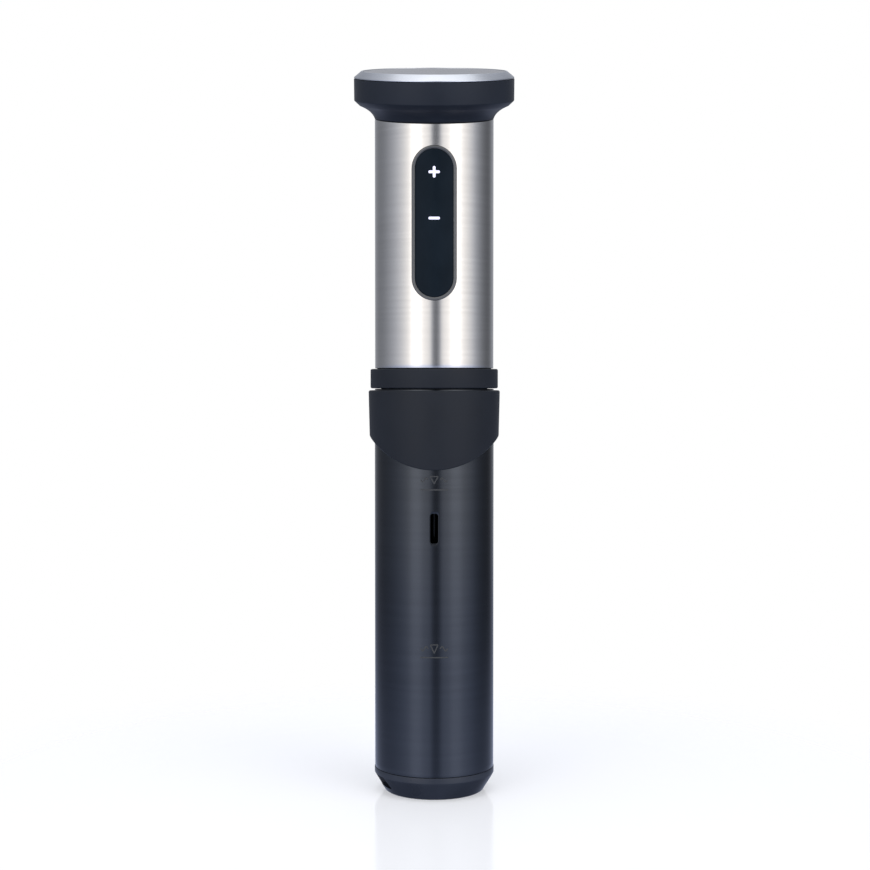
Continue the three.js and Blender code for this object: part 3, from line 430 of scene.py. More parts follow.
def moulded(name, colour, roughness, grain, depth=0.02, **more):
    """Plastic or rubber with a fine moulded grain and a faint cloud of uneven gloss."""
    made = Finish(name, colour, roughness, **more)
    cloud = made.noise(14, detail=3)
    speckle = made.noise(grain, detail=2)
    made.vary_roughness(cloud, 0.12)
    made.vary_colour(cloud, 0.08)
    return made.bump(speckle, depth, 0.4)


def bezel_finish():
    """Turned aluminium: fine rings that follow both the radius and the height."""
    made = Finish("bezel_aluminium", (0.60, 0.63, 0.68), 0.3, 1.0, anisotropic=0.2)
    where = made.place(1, on_head=True)
    flat = made.node("ShaderNodeVectorMath", operation="MULTIPLY")
    flat.inputs[1].default_value = (1, 1, 0)
    made.link(where, flat.inputs[0])
    radius = made.node("ShaderNodeVectorMath", operation="LENGTH")
    made.link(flat.outputs[0], radius.inputs[0])
    parts = made.node("ShaderNodeSeparateXYZ")
    made.link(where, parts.inputs[0])
    rings = made.node("ShaderNodeCombineXYZ")
    made.link(radius.outputs["Value"], rings.inputs["X"])
    made.link(parts.outputs["Z"], rings.inputs["Z"])
    tight = made.node("ShaderNodeVectorMath", operation="SCALE")
    feed(tight, scale=9)
    made.link(rings.outputs[0], tight.inputs[0])
    groove = made.noise(1, detail=2, where=tight.outputs[0])
    made.vary_roughness(groove, 0.15)
    made.vary_colour(made.noise(18, detail=1), 0.04)
    made.bump(groove, 0.001, 0.3)
    return made.tangent_round()


def smeared(name, colour, roughness, grain, gloss_spread, tint, **more):
    """A smooth surface with faint smears in its gloss and its colour."""
    made = Finish(name, colour, roughness, **more)
    smear = made.noise(grain, detail=4)
    made.vary_roughness(smear, gloss_spread)
    return made.vary_colour(smear, tint)


def icon_finish():
    """A frosted light guide, lit from behind and a little uneven."""
    made = Finish("lit_icon", (0.5, 0.5, 0.62), 0.45, emission_strength=0.85)
    frost = made.noise(0.5, detail=2)
    made.mixed(frost, (0.70, 0.70, 1.0), (0.84, 0.84, 1.0), "Emission Color")
    return made.bump(frost, 0.01, 0.3)


def speckled(name, colour, roughness, grain, detail, tint, depth, **more):
    """One texture in both the colour and the relief."""
    made = Finish(name, colour, roughness, **more)
    speck = made.noise(grain, detail)
    made.vary_colour(speck, tint)
    return made.bump(speck, depth, 0.3)


def board_finish():
    """A solder-masked board, with copper tracks just raised under the green."""
    made = Finish("circuit_board", (0.012, 0.11, 0.045), 0.3, coat_weight=0.3)
    tracks = made.node("ShaderNodeTexBrick", offset=0.5, squash=1.0)
    feed(tracks, scale=1.0, mortar_size=0.03, color1=(0, 0, 0, 1), color2=(0, 0, 0, 1), mortar=(1, 1, 1, 1))
    made.link(made.place((7, 7, 3)), tracks.inputs["Vector"])
    made.vary_colour(tracks.outputs["Color"], 0.1, other=(0.03, 0.2, 0.08))
    return made.bump(tracks.outputs["Color"], 0.03, 0.5)


def winding_finish():
    """Enamelled wire, wound round Z."""
    made = Finish("copper_winding", (0.55, 0.24, 0.10), 0.32, 1.0)
    wires = made.node("ShaderNodeTexWave", wave_type="BANDS", bands_direction="Z")
    feed(wires, scale=1.0, distortion=0.6)
    made.link(made.place(1.6), wires.inputs["Vector"])
    made.vary_colour(wires.outputs["Fac"], 0.35)
    return made.bump(wires.outputs["Fac"], 0.15, 0.8)


MATERIALS = {
    "handle_steel": brushed("handle_steel", (0.66, 0.655, 0.65), 0.15, 0.35, 0.16, depth=0.001, tint=0.03),
    "coated_steel": brushed(
        "coated_steel", (0.050, 0.056, 0.066), 0.17, 0.3, 0.2, metallic=0.95, depth=0.003, tint=0.05),
    "bezel_aluminium": bezel_finish(),
    "head_plastic": moulded("head_plastic", (0.0185, 0.0235, 0.0335), 0.42, 0.35, specular_ior_level=0.18),
    "soft_black_plastic": moulded(
        "soft_black_plastic", (0.0155, 0.0192, 0.0262), 0.5, 0.3, specular_ior_level=0.18),
    "cap_plastic": moulded(
        "cap_plastic", (0.031, 0.038, 0.054), 0.3, 0.4, depth=0.012, specular_ior_level=0.25),
    "panel_gloss": smeared(
        "panel_gloss", (0.0105, 0.0165, 0.0235), 0.2, (9, 9, 16), 0.3, 0.12, specular_ior_level=0.02),
    "panel_rim": brushed("panel_rim", (0.12, 0.125, 0.13), 0.4, 0.0, 0.3, metallic=0.6),
    "lit_icon": icon_finish(),
    "dark_glass": smeared("dark_glass", (0.016, 0.017, 0.022), 0.09, (22, 9, 22), 0.1, 0.15),
    "seal_rubber": moulded("seal_rubber", (0.018, 0.018, 0.02), 0.7, 0.25, depth=0.03),
    # Steel of the inside pieces: duller than the handle's, and its colour darker as painted shade, so
    # pieces seen through the sleeve's slot glint less.
    "inner_steel": brushed("inner_steel", (0.44, 0.44, 0.45), 0.36, 0.3, 0.12),
    "inner_aluminium": brushed("inner_aluminium", (0.68, 0.68, 0.7), 0.35, 0.2, 0.3),
    "inner_black_plastic": moulded("inner_black_plastic", (0.022, 0.022, 0.025), 0.5, 0.5),
    "inner_white_plastic": moulded("inner_white_plastic", (0.68, 0.66, 0.61), 0.42, 0.5),
    "circuit_board": board_finish(),
    "copper_winding": winding_finish(),
    "blue_film": speckled("blue_film", (0.02, 0.05, 0.22), 0.25, (3, 3, 12), 3, 0.2, 0.04, coat_weight=0.4),
}
MATERIALS = {slot: made.material for slot, made in MATERIALS.items()}
# The matte grey that a laser leaves in the coating.
LASER_MARK = speckled(
    "laser_mark", (0.058, 0.061, 0.064), 0.75, 0.12, 2, 0.18, 0.01, specular_ior_level=0.2).material


def finished(obj, body, slot, *nodes, place=None):
    return settle(obj, body, MATERIALS[slot], nodes, place)


# ---- Base cap, sleeve and cuff ----

CAP_CONE_INSET = 6.1
CAP_FOOT_FLARE = 0.8
CAP_FOOT_EDGE = 0.5
CAP_LIP_INSET = 0.8
CAP_CONE_TOP_Z = 7.7
CAP_LIP_LOW_Z = 9.2
CAP_INSIDE_CONE_TOP_Z = 9
CAP_CONE_WALL = 1.4
SPIGOT_HEIGHT = 8
SPIGOT_WALL = 2.6
CAP_FLOOR = 2
SEAM_CLOSED = 0.2  # how much of the gap under the sleeve the cap's lip closes
GROOVE_DEPTH = 1.6
GROOVE_WIDTH = 2.8
OUTLET_FRONT_Y = -16.6
OUTLET_REAR_Y = -2
OUTLET_LOW_Z = 3.2
OUTLET_HIGH_Z = 9.3
OUTLET_INNER_X = -15
OUTLET_CORNER = 0.9


def seal_groove(radius, middle):
    """The four corners of an O-ring's groove in a wall, from its foot up."""
    low, high, floor_r = middle - GROOVE_WIDTH / 2, middle + GROOVE_WIDTH / 2, radius - GROOVE_DEPTH
    return [(radius, low, 0.2), (floor_r, low, 0.2), (floor_r, high, 0.2), (radius, high, 0.2)]


def base_cap():
    spigot_r = SLEEVE_R - WALL - GAP
    foot_r = CAP_R - CAP_CONE_INSET
    top = CAP_TOP_Z + SPIGOT_HEIGHT
    cap = lathe("base_cap_shell", [
        (0, 0),
        (foot_r, 0, 0.3),
        (foot_r + CAP_FOOT_FLARE, CAP_FOOT_EDGE, 0.3),
        (CAP_R - CAP_LIP_INSET, CAP_CONE_TOP_Z, 1.2),
        (CAP_R, CAP_LIP_LOW_Z, 1.4),
        (CAP_R, CAP_TOP_Z + SEAM_CLOSED, 0.15),
        (spigot_r, CAP_TOP_Z + SEAM_CLOSED, 0.1),
        *seal_groove(spigot_r, CAP_TOP_Z + SPIGOT_HEIGHT / 2),
        (spigot_r, top, 0.4),
        (spigot_r - SPIGOT_WALL, top, 0.4),
        (spigot_r - SPIGOT_WALL, CAP_INSIDE_CONE_TOP_Z, 1),
        (foot_r - CAP_CONE_WALL, CAP_FLOOR, 1.2),
        (0, CAP_FLOOR),
    ])
    opening = [
        (OUTLET_FRONT_Y, OUTLET_LOW_Z, OUTLET_CORNER),
        (OUTLET_REAR_Y, OUTLET_LOW_Z, OUTLET_CORNER),
        (OUTLET_REAR_Y, OUTLET_HIGH_Z, OUTLET_CORNER),
        (OUTLET_FRONT_Y, OUTLET_HIGH_Z, OUTLET_CORNER),
    ]
    cut(cap, prism("outlet_cutter", opening, -CAP_R - NUDGE, OUTLET_INNER_X, "X"))
    soften(cap, 0.4, angle=50)
    return finished(cap, "base", "cap_plastic", "base_cap")


SLOT_WIDTH = 4
SLOT_LENGTH = 14.7
SLOT_CORNER = 1.2
SLOT_MIDDLE_Z = 135.9


def sleeve():
    bore = SLEEVE_R - WALL
    shell = lathe("sleeve_shell", [
        (bore, SLEEVE_LOW_Z, 0.15),
        (SLEEVE_R, SLEEVE_LOW_Z, 0.25),
        *upright(SLEEVE_R, SLEEVE_LOW_Z, SLEEVE_TOP_Z),
        (SLEEVE_R, SLEEVE_TOP_Z, 0.25),
        (bore, SLEEVE_TOP_Z, 0.15),
    ], 3)
    slot = slot_outline(SLOT_WIDTH, SLOT_LENGTH, SLOT_CORNER, SLOT_MIDDLE_Z)
    reach = SLEEVE_R + NUDGE
    cut(shell, prism("slot_cutter", slot, -reach, reach, "Y"))
    soften(shell, 0.16, segments=2, angle=60)
    return finished(shell, "sleeve_body", "coated_steel", "sleeve")


CUFF_TAPER = 0.9
CUFF_ARCH_R = 41


def cuff():
    """The lower edge follows a cylinder that lies along Y, so it arches at the front and the back."""
    arch_z = CUFF_LOW_Z + CUFF_ARCH_R
    height = CUFF_TOP_Z - CUFF_LOW_Z
    bore = SLEEVE_R + GAP

    def reshape(point):
        if point.z > CUFF_LOW_Z + 2:
            return point
        low = arch_z - math.sqrt(CUFF_ARCH_R**2 - point.x**2)
        lift = low - CUFF_LOW_Z
        radial = Vector((point.x, point.y, 0))
        slope = 1 + CUFF_TAPER * lift / height / radial.length if radial.length > bore + 0.5 else 1
        return Vector((point.x * slope, point.y * slope, point.z + lift))

    low_r = CUFF_R - CUFF_TAPER
    shell = lathe("cuff_shell", [
        (bore, CUFF_LOW_Z, 0.3),
        (low_r, CUFF_LOW_Z, 0.5),
        (CUFF_R, CUFF_TOP_Z, 0.9),
        (bore, CUFF_TOP_Z, 0.3),
    ], reshape=reshape)
    return finished(shell, "sleeve_body", "soft_black_plastic", "cuff")


# ---- Level marks: a line, and over it a water-level sign of a triangle between two ripples ----

MARK_STROKE = 0.6
MARK_PROUD = 0.03
MARK_SUNK = 0.05
LINE_HALF = 6.9
MARK_STEPS = 24
RIPPLE_START = 3.0
RIPPLE_LENGTH = 3.6
TRIANGLE_HALF = 1.9
HIGH_LEVEL = (155.0, 157.8, 162.0)  # the height of the line, then the sign's foot and top
LOW_LEVEL = (72.2, 74.1, 79.0)


def wrapped(bm, path, width):
    """A closed strip of that width along (across, up) points, wrapped onto the sleeve's front."""
    rings = []
    points = [Vector(p) for p in path]
    for i, point in enumerate(points):
        along = (points[min(i + 1, len(points) - 1)] - points[max(i - 1, 0)]).normalized()
        side = Vector((-along.y, along.x)) * width / 2
        ring = []
        for place, radius in (
            (point + side, SLEEVE_R - MARK_SUNK),
            (point + side, SLEEVE_R + MARK_PROUD),
            (point - side, SLEEVE_R + MARK_PROUD),
            (point - side, SLEEVE_R - MARK_SUNK),
        ):
            turn = place.x / SLEEVE_R
            ring.append(bm.verts.new((radius * math.sin(turn), -radius * math.cos(turn), place.y)))
        rings.append(ring)
    bridge(bm, rings, closed=False)
    bm.faces.new(rings[0])
    bm.faces.new(rings[-1])


def level_mark(name, line_z, sign_low_z, sign_high_z):
    bm = bmesh.new()
    line = [(x, line_z) for x in spread(-LINE_HALF, LINE_HALF, MARK_STEPS)]
    wrapped(bm, line, MARK_STROKE)
    middle = (sign_low_z + sign_high_z) / 2
    half = (sign_high_z - sign_low_z) / 2
    for side in (-1, 1):
        ripple = []
        for i in range(MARK_STEPS + 1):
            across = RIPPLE_START + RIPPLE_LENGTH * i / MARK_STEPS
            wave = 0.45 * half * math.sin(2 * math.pi * i / MARK_STEPS)
            ripple.append((side * across, middle + wave))
        wrapped(bm, ripple, MARK_STROKE)
    top = middle + 0.8 * half
    corners = [(-TRIANGLE_HALF, top), (TRIANGLE_HALF, top), (0, middle - 0.9 * half)]
    for start, end in zip(corners, corners[1:] + corners[:1]):
        wrapped(bm, [Vector(start).lerp(Vector(end), i / 6) for i in range(7)], MARK_STROKE)
    return settle(new_object(name, bm), "sleeve_body", LASER_MARK)


# ---- Collar ring and handle tube ----

RING_SPIGOT_WALL = 1.6


def collar_ring():
    spigot_r = TUBE_R - WALL - GAP
    bore = spigot_r - RING_SPIGOT_WALL
    ring = lathe("collar_ring_shell", [
        (bore, RING_LOW_Z, 0.3),
        (RING_R, RING_LOW_Z, 0.8),
        (RING_R, RING_TOP_Z, 0.8),
        (spigot_r, RING_TOP_Z, 0.2),
        (spigot_r, RING_SPIGOT_TOP_Z, 0.3),
        (bore, RING_SPIGOT_TOP_Z, 0.3),
    ])
    return finished(ring, "handle", "soft_black_plastic", "collar_ring")


def handle_tube():
    bore = TUBE_R - WALL
    nominal_top = PIVOT_Z + TUBE_R

    def reshape(point):
        if point.z < PIVOT_Z:
            return point
        top = PIVOT_Z + (point.y * math.sin(HEAD_TILT) - GAP) / math.cos(HEAD_TILT)
        return Vector((point.x, point.y, top - (nominal_top - point.z)))

    shell = lathe("handle_tube_shell", [
        (bore, TUBE_LOW_Z, 0.15),
        (TUBE_R, TUBE_LOW_Z, 0.25),
        *upright(TUBE_R, TUBE_LOW_Z, PIVOT_Z - TUBE_R * math.tan(HEAD_TILT) - 1),
        (TUBE_R, nominal_top, 0.25),
        (bore, nominal_top, 0.15),
    ], 3, reshape=reshape)
    opening = stadium(PANEL_HIGH.x * 2 + 0.2, PANEL_HIGH.z - PANEL_LOW.z + 0.2, PANEL_MIDDLE_Z)
    cut(shell, prism("panel_cutter", opening, -TUBE_R - NUDGE, -TUBE_R / 2, "Y"))
    return finished(shell, "handle", "handle_steel", "handle_tube")


# ---- Touch panel ----

PANEL_MIDDLE_Z = (PANEL_LOW.z + PANEL_HIGH.z) / 2
PANEL_RIM = 1.5
PANEL_DEPTH = 2.6
PANEL_PROUD = 0.15
PANEL_INNER_GAP = 0.08
PANEL_EDGE = 1.2
PANEL_STEPS = 9
ICON_ARM = 5.6
ICON_STROKE = 1.35
ICON_GAP = 0.05
PLUS_Z = (span("plus_light_guide")[0].z + span("plus_light_guide")[1].z) / 2
MINUS_Z = (span("minus_light_guide")[0].z + span("minus_light_guide")[1].z) / 2
GUIDE_BACK_Y = span("plus_light_guide")[1].y


def on_handle(point, radius):
    """The (x, z) point pushed back onto the handle's curve at a radius."""
    return Vector((point.x, -math.sqrt(radius**2 - point.x**2), point.y))


def panel_rings(bm, width, height, section):
    """A ring of vertices on the handle's curve for each (inset, radius) of the section."""
    rings = []
    for inset, radius in section:
        ring = stadium(width - 2 * inset, height - 2 * inset, PANEL_MIDDLE_Z)
        rings.append([bm.verts.new(on_handle(p, radius)) for p in ring])
    return rings


def panel_frame():
    width = 2 * PANEL_HIGH.x
    height = PANEL_HIGH.z - PANEL_LOW.z
    face = TUBE_R + PANEL_PROUD
    back = face - PANEL_DEPTH
    section = rounded([
        (0, back, 0.1),
        (0, face - 0.05, 0.25),
        (PANEL_RIM * 0.55, face, 0.3),
        (PANEL_RIM, face - 0.3, 0.2),
        (PANEL_RIM, back, 0.1),
    ], steps=3)
    bm = bmesh.new()
    bridge(bm, panel_rings(bm, width, height, section), closed=True)
    return finished(new_object("panel_frame_ring", bm), "handle", "panel_rim", "panel_frame")


def bar(length, stroke, middle, standing=False):
    """A round-ended bar as an (x, z) outline, lying down or standing up."""
    points = stadium(stroke, length, 0, arc_steps=10, side_steps=4)
    if standing:
        return [Vector((p.x, p.y + middle)) for p in points]
    return [Vector((p.y, -p.x + middle)) for p in points]


def icon(name, middle, crossed, grow, near, far):
    arm = ICON_ARM + 2 * grow
    stroke = ICON_STROKE + 2 * grow
    made = prism(name, bar(arm, stroke, middle), near, far, "Y")
    if crossed:
        join(made, prism(name + "_upright", bar(arm, stroke, middle, True), near, far, "Y"))
    return made


def touch_panel():
    inset = PANEL_RIM + PANEL_INNER_GAP
    width = 2 * PANEL_HIGH.x - 2 * inset
    height = PANEL_HIGH.z - PANEL_LOW.z - 2 * inset
    back = TUBE_R + PANEL_PROUD - PANEL_DEPTH
    face = TUBE_R - 0.1
    edge = rounded([(0, back), (0, face, 0.3), (PANEL_EDGE, face)], steps=4, closed=False)
    reach = (width / 2 - PANEL_EDGE) / PANEL_STEPS
    inner = [(PANEL_EDGE + reach * i, face) for i in range(1, PANEL_STEPS)]
    bm = bmesh.new()
    rings = panel_rings(bm, width, height, [*edge, *inner])
    bridge(bm, rings, closed=False)
    bm.faces.new(rings[0])
    bm.faces.new(rings[-1])
    bmesh.ops.triangulate(bm, faces=[f for f in bm.faces if len(f.verts) > 4])
    panel = new_object("touch_panel_lens", bm)
    near, far = -TUBE_R - NUDGE, GUIDE_BACK_Y + NUDGE
    cut(panel, icon("plus_cutter", PLUS_Z, True, ICON_GAP, near, far))
    cut(panel, icon("minus_cutter", MINUS_Z, False, ICON_GAP, near, far))
    return finished(panel, "handle", "panel_gloss", "touch_panel")


def light_guide(node, middle, crossed):
    guide = icon(node + "_lens", middle, crossed, 0, -TUBE_R + 0.12, GUIDE_BACK_Y)
    soften(guide, 0.12, segments=2)
    return finished(guide, "handle", "lit_icon", node)


# ---- Head, round its own tilted axis ----

HEAD_WALL = 2
HEAD_FOOT_H = 9.1
HEAD_RIM_H = 19.65
HEAD_NECK_R = TUBE_R - WALL - 2
HEAD_NECK_WALL = 2
HEAD_NECK_DEPTH = 6
BEZEL_LOW_H = HEAD_RIM_H + GAP
BEZEL_HIGH_H = BEZEL_LOW_H + 3.35
BEZEL_TOP_R = HEAD_R - 3.7
BEZEL_BORE = BEZEL_TOP_R - 0.7
BEZEL_LEDGE = 1.9
BEZEL_LEDGE_H = BEZEL_LOW_H + 1.05
GLASS_THICKNESS = 1.85
GLAND_H = 14.4
GLAND_R = 4.5
GLAND_BORE = 3.2


def bezier(start, control, end, steps):
    start, control, end = Vector(start), Vector(control), Vector(end)
    return [start * (1 - t) ** 2 + control * 2 * t * (1 - t) + end * t**2 for t in spread(0, 1, steps)]


def head_housing():
    neck_bore = HEAD_NECK_R - HEAD_NECK_WALL
    flare = bezier((TUBE_R + 0.1, 0), (TUBE_R + 1.4, 3.9), (HEAD_R - 2.7, HEAD_FOOT_H - 2.7), 14)
    housing = lathe("head_housing_shell", [
        (neck_bore, -HEAD_NECK_DEPTH, 0.4),
        (HEAD_NECK_R, -HEAD_NECK_DEPTH, 0.4),
        (HEAD_NECK_R, 0, 0.2),
        *[tuple(p) for p in flare],
        (HEAD_R, HEAD_FOOT_H - 0.2, 0.9),
        (HEAD_R, HEAD_RIM_H, 0.3),
        (HEAD_R - HEAD_WALL, HEAD_RIM_H, 0.2),
        (HEAD_R - HEAD_WALL, HEAD_FOOT_H + 2.9, 0.6),
        (HEAD_R - HEAD_WALL - 1.8, HEAD_FOOT_H + 1.1, 0.6),
        (HEAD_NECK_R + 3, 5, 1),
        (neck_bore, 3.4, 1),
    ])
    hole = circle(GLAND_R + 0.1, (0, GLAND_H))
    cut(housing, prism("gland_cutter", hole, HEAD_R - HEAD_WALL - 3, HEAD_R + NUDGE, "Y"))
    return finished(housing, "handle", "head_plastic", "head_housing", place=HEAD_FRAME)


def bezel_ring():
    edge_r = HEAD_R - 0.1
    ring = lathe("bezel_ring_turned", [
        (BEZEL_BORE - BEZEL_LEDGE, BEZEL_LOW_H),
        (edge_r, BEZEL_LOW_H, 0.12),
        (edge_r, BEZEL_LOW_H + 0.45, 0.25),
        (BEZEL_TOP_R, BEZEL_HIGH_H, 0.2),
        (BEZEL_BORE, BEZEL_HIGH_H, 0.15),
        (BEZEL_BORE, BEZEL_LEDGE_H, 0.1),
        (BEZEL_BORE - BEZEL_LEDGE, BEZEL_LEDGE_H, 0.1),
    ])
    return finished(ring, "handle", "bezel_aluminium", "bezel_ring", place=HEAD_FRAME)


def display_glass():
    low = BEZEL_LEDGE_H + GAP
    radius = BEZEL_BORE - 0.15
    top = low + GLASS_THICKNESS
    flat = [(radius - 0.7, top), (radius - 1.4, top)]
    disc = lathe("display_glass_disc", [(0, low), (radius, low, 0.2), (radius, top, 0.3), *flat, (0, top)])
    return finished(disc, "handle", "dark_glass", "display_glass", place=HEAD_FRAME)


def cord_gland():
    """A flanged bush in the back of the head, with two shallow ribs round its mouth."""
    inside = HEAD_R - HEAD_WALL - 2.7
    face = HEAD_R + 2.5
    gland = lathe("cord_gland_bush", [
        (GLAND_BORE, inside, 0.2),
        (GLAND_R, inside, 0.3),
        (GLAND_R, HEAD_R + 0.3),
        (GLAND_R + 0.5, HEAD_R + 0.3, 0.15),
        (GLAND_R + 0.5, HEAD_R + 1.0, 0.3),
        (GLAND_R + 0.1, HEAD_R + 1.2, 0.2),
        (GLAND_R + 0.4, HEAD_R + 1.5, 0.2),
        (GLAND_R + 0.3, face - 0.4, 0.4),
        (GLAND_BORE + 0.3, face, 0.3),
        (GLAND_BORE, face - 0.5, 0.3),
    ], 3, SMALL_STEPS)
    gland.data.transform(Matrix.Translation((0, 0, GLAND_H)) @ Matrix.Rotation(-math.pi / 2, 4, "X"))
    return finished(gland, "handle", "seal_rubber", "cord_gland", place=HEAD_FRAME)


# ---- Turned pieces of the wet end ----

HEATER_R = 3.25
HEATER_PITCH_R = 17
HEATER_LEG_ANGLE = math.radians(45)
HEATER_BEND_DEPTH = 20
SHAFT_R = span("drive_shaft")[1].x
SHAFT_HOLE_R = SHAFT_R + GAP
SHAFT_TUBE_R = span("shaft_tube")[1].x
SHAFT_TUBE_WALL = 1.5
PROBES = ("temperature_probe", "low_level_probe", "common_level_probe")


def rod(name, radius, low, high, at=(0, 0), edge=0.25, steps=SMALL_STEPS):
    """A round bar along Z with rounded rims."""
    made = lathe(name, [(0, low), (radius, low, edge), (radius, high, edge), (0, high)], 4, steps)
    made.data.transform(Matrix.Translation((*at, 0)))
    return made


def tube(name, radius, bore, low, high, edge=0.2):
    corners = [(bore, low, edge), (radius, low, edge), (radius, high, edge), (bore, high, edge)]
    return lathe(name, corners, 3, 2 * SMALL_STEPS)


def o_ring(node, body):
    low, high = span(node)
    section = (high.z - low.z) / 2
    outline = circle(section, (high.x - section, low.z + section), 20)
    return finished(lathe(node + "_ring", outline), body, "seal_rubber", node)


def heater_element():
    """Two upright legs joined by a bend that wraps round the axis."""
    low, high = span("heater_element")
    bend_top = low.z + HEATER_R + HEATER_BEND_DEPTH
    leg_top = high.z - HEATER_R
    turned = math.pi + 2 * HEATER_LEG_ANGLE
    leg = spread(leg_top, bend_top, 12)[:-1]
    path = [at_angle(HEATER_PITCH_R, HEATER_LEG_ANGLE, z) for z in leg]
    for share in spread(0, math.pi, 72):
        angle = HEATER_LEG_ANGLE - turned * (1 - math.cos(share)) / 2
        path.append(at_angle(HEATER_PITCH_R, angle, bend_top - HEATER_BEND_DEPTH * math.sin(share)))
    path += [at_angle(HEATER_PITCH_R, math.pi - HEATER_LEG_ANGLE, z) for z in reversed(leg)]
    return finished(sweep("heater_tube", path, HEATER_R, 32), "handle", "inner_steel", "heater_element")


def probe_place(node):
    low, high = span(node)
    return (low.x + high.x) / 2, (low.y + high.y) / 2, (high.x - low.x) / 2


def probe(node):
    """A closed sheath with a domed tip."""
    low, high = span(node)
    x, y, radius = probe_place(node)
    corners = [(0, low.z), (radius, low.z, 0.97 * radius), (radius, high.z, 0.3), (0, high.z)]
    made = lathe(node + "_sheath", corners, 8, SMALL_STEPS)
    made.data.transform(Matrix.Translation((x, y, 0)))
    return finished(made, "handle", "inner_steel", node)


def shaft_tube():
    low, high = span("shaft_tube")
    made = tube("shaft_tube_sleeve", SHAFT_TUBE_R, SHAFT_TUBE_R - SHAFT_TUBE_WALL, low.z, high.z)
    return finished(made, "handle", "coated_steel", "shaft_tube")


def lower_bush():
    """A flanged plastic bearing pushed up into the shaft tube."""
    low, high = span("lower_bush")
    shoulder = span("shaft_tube")[0].z - GAP
    stem_r = SHAFT_TUBE_R - SHAFT_TUBE_WALL - GAP
    bush = lathe("lower_bush_bearing", [
        (SHAFT_HOLE_R, low.z, 0.15),
        (SHAFT_TUBE_R, low.z, 0.6),
        (SHAFT_TUBE_R, shoulder, 0.2),
        (stem_r, shoulder, 0.1),
        (stem_r, high.z, 0.1),
        (SHAFT_HOLE_R, high.z, 0.1),
    ], 4, SMALL_STEPS)
    return finished(bush, "handle", "inner_white_plastic", "lower_bush")


def drive_shaft():
    low, high = span("drive_shaft")
    made = rod("drive_shaft_rod", SHAFT_R, low.z, high.z, edge=0.35)
    return finished(made, "rotor", "inner_steel", "drive_shaft")


def shaft_seal():
    low, high = span("shaft_seal")
    made = tube("shaft_seal_lip", high.x, SHAFT_HOLE_R, low.z, high.z, 0.5)
    return finished(made, "handle", "seal_rubber", "shaft_seal")


IMPELLER_BLADES = 6
BLADE_THICKNESS = 1.4
IMPELLER_HUB_R = SHAFT_R + 3


def impeller():
    """A disc, a hub and upright blades, each blade's outer top corner cut back in a curve."""
    low, high = span("impeller")
    disc_top = low.z + BLADE_THICKNESS
    made = rod("impeller_wheel", high.x, low.z, disc_top, edge=0.35, steps=96)
    join(made, rod("hub", IMPELLER_HUB_R, low.z + 0.2, high.z, edge=0.8))
    half = BLADE_THICKNESS / 2
    blade = [
        (IMPELLER_HUB_R - 1, disc_top - 0.7),
        (high.x - 0.6, disc_top - 0.7),
        (high.x - 0.6, high.z - 1.2, 2.2),
        (IMPELLER_HUB_R - 1, high.z - 0.6),
    ]
    for i in range(IMPELLER_BLADES):
        one = prism("blade", blade, -half, half, "Y", 6)
        one.data.transform(Matrix.Rotation(2 * math.pi * i / IMPELLER_BLADES, 4, "Z"))
        join(made, one)
    cut(made, rod("shaft_hole", SHAFT_HOLE_R, low.z - NUDGE, high.z + NUDGE, edge=0))
    soften(made, 0.2, segments=2, angle=55)
    return finished(made, "rotor", "inner_white_plastic", "impeller")


PLUG_LOW_Z = span("bulkhead")[0].z
BULKHEAD_FLOOR = 12.6
BULKHEAD_RIM_WALL = 2.6
SHAFT_SEAL_R = span("shaft_seal")[1].x


def bulkhead():
    """The plug that closes the dry end, with a seat for every piece that goes through it."""
    floor = PLUG_LOW_Z + BULKHEAD_FLOOR
    seal_low, seal_high = span("bulkhead_seal")
    plug_r = span("bulkhead")[1].x
    rim_r = TUBE_R - WALL - GAP - RING_SPIGOT_WALL - GAP
    top = span("bulkhead")[1].z
    made = lathe("bulkhead_plug", [
        (0, PLUG_LOW_Z),
        (plug_r, PLUG_LOW_Z, 0.8),
        *seal_groove(plug_r, (seal_low.z + seal_high.z) / 2),
        (plug_r, SLEEVE_TOP_Z, 0.3),
        (rim_r, SLEEVE_TOP_Z, 0.2),
        (rim_r, top, 0.3),
        (rim_r - BULKHEAD_RIM_WALL, top, 0.3),
        (rim_r - BULKHEAD_RIM_WALL, floor, 0.8),
        (0, floor),
    ], 4)
    below, above = PLUG_LOW_Z - NUDGE, floor + NUDGE
    cut(made, rod("shaft_way", SHAFT_HOLE_R + 0.4, below, above, edge=0))
    cut(made, rod("seal_seat", SHAFT_SEAL_R + GAP, span("shaft_seal")[0].z - GAP, above, edge=0))
    cut(made, rod("tube_seat", SHAFT_TUBE_R + GAP, below, span("shaft_tube")[1].z + GAP, edge=0))
    for angle in (HEATER_LEG_ANGLE, math.pi - HEATER_LEG_ANGLE):
        at = at_angle(HEATER_PITCH_R, angle)[:2]
        cut(made, rod("leg_hole", HEATER_R + GAP, below, above, at, edge=0))
    for node in PROBES:
        x, y, radius = probe_place(node)
        cut(made, rod("probe_hole", radius + GAP, below, above, (x, y), edge=0))
    soften(made, 0.25, segments=2, angle=60)
    return finished(made, "handle", "inner_black_plastic", "bulkhead")


# ---- Clamp ----

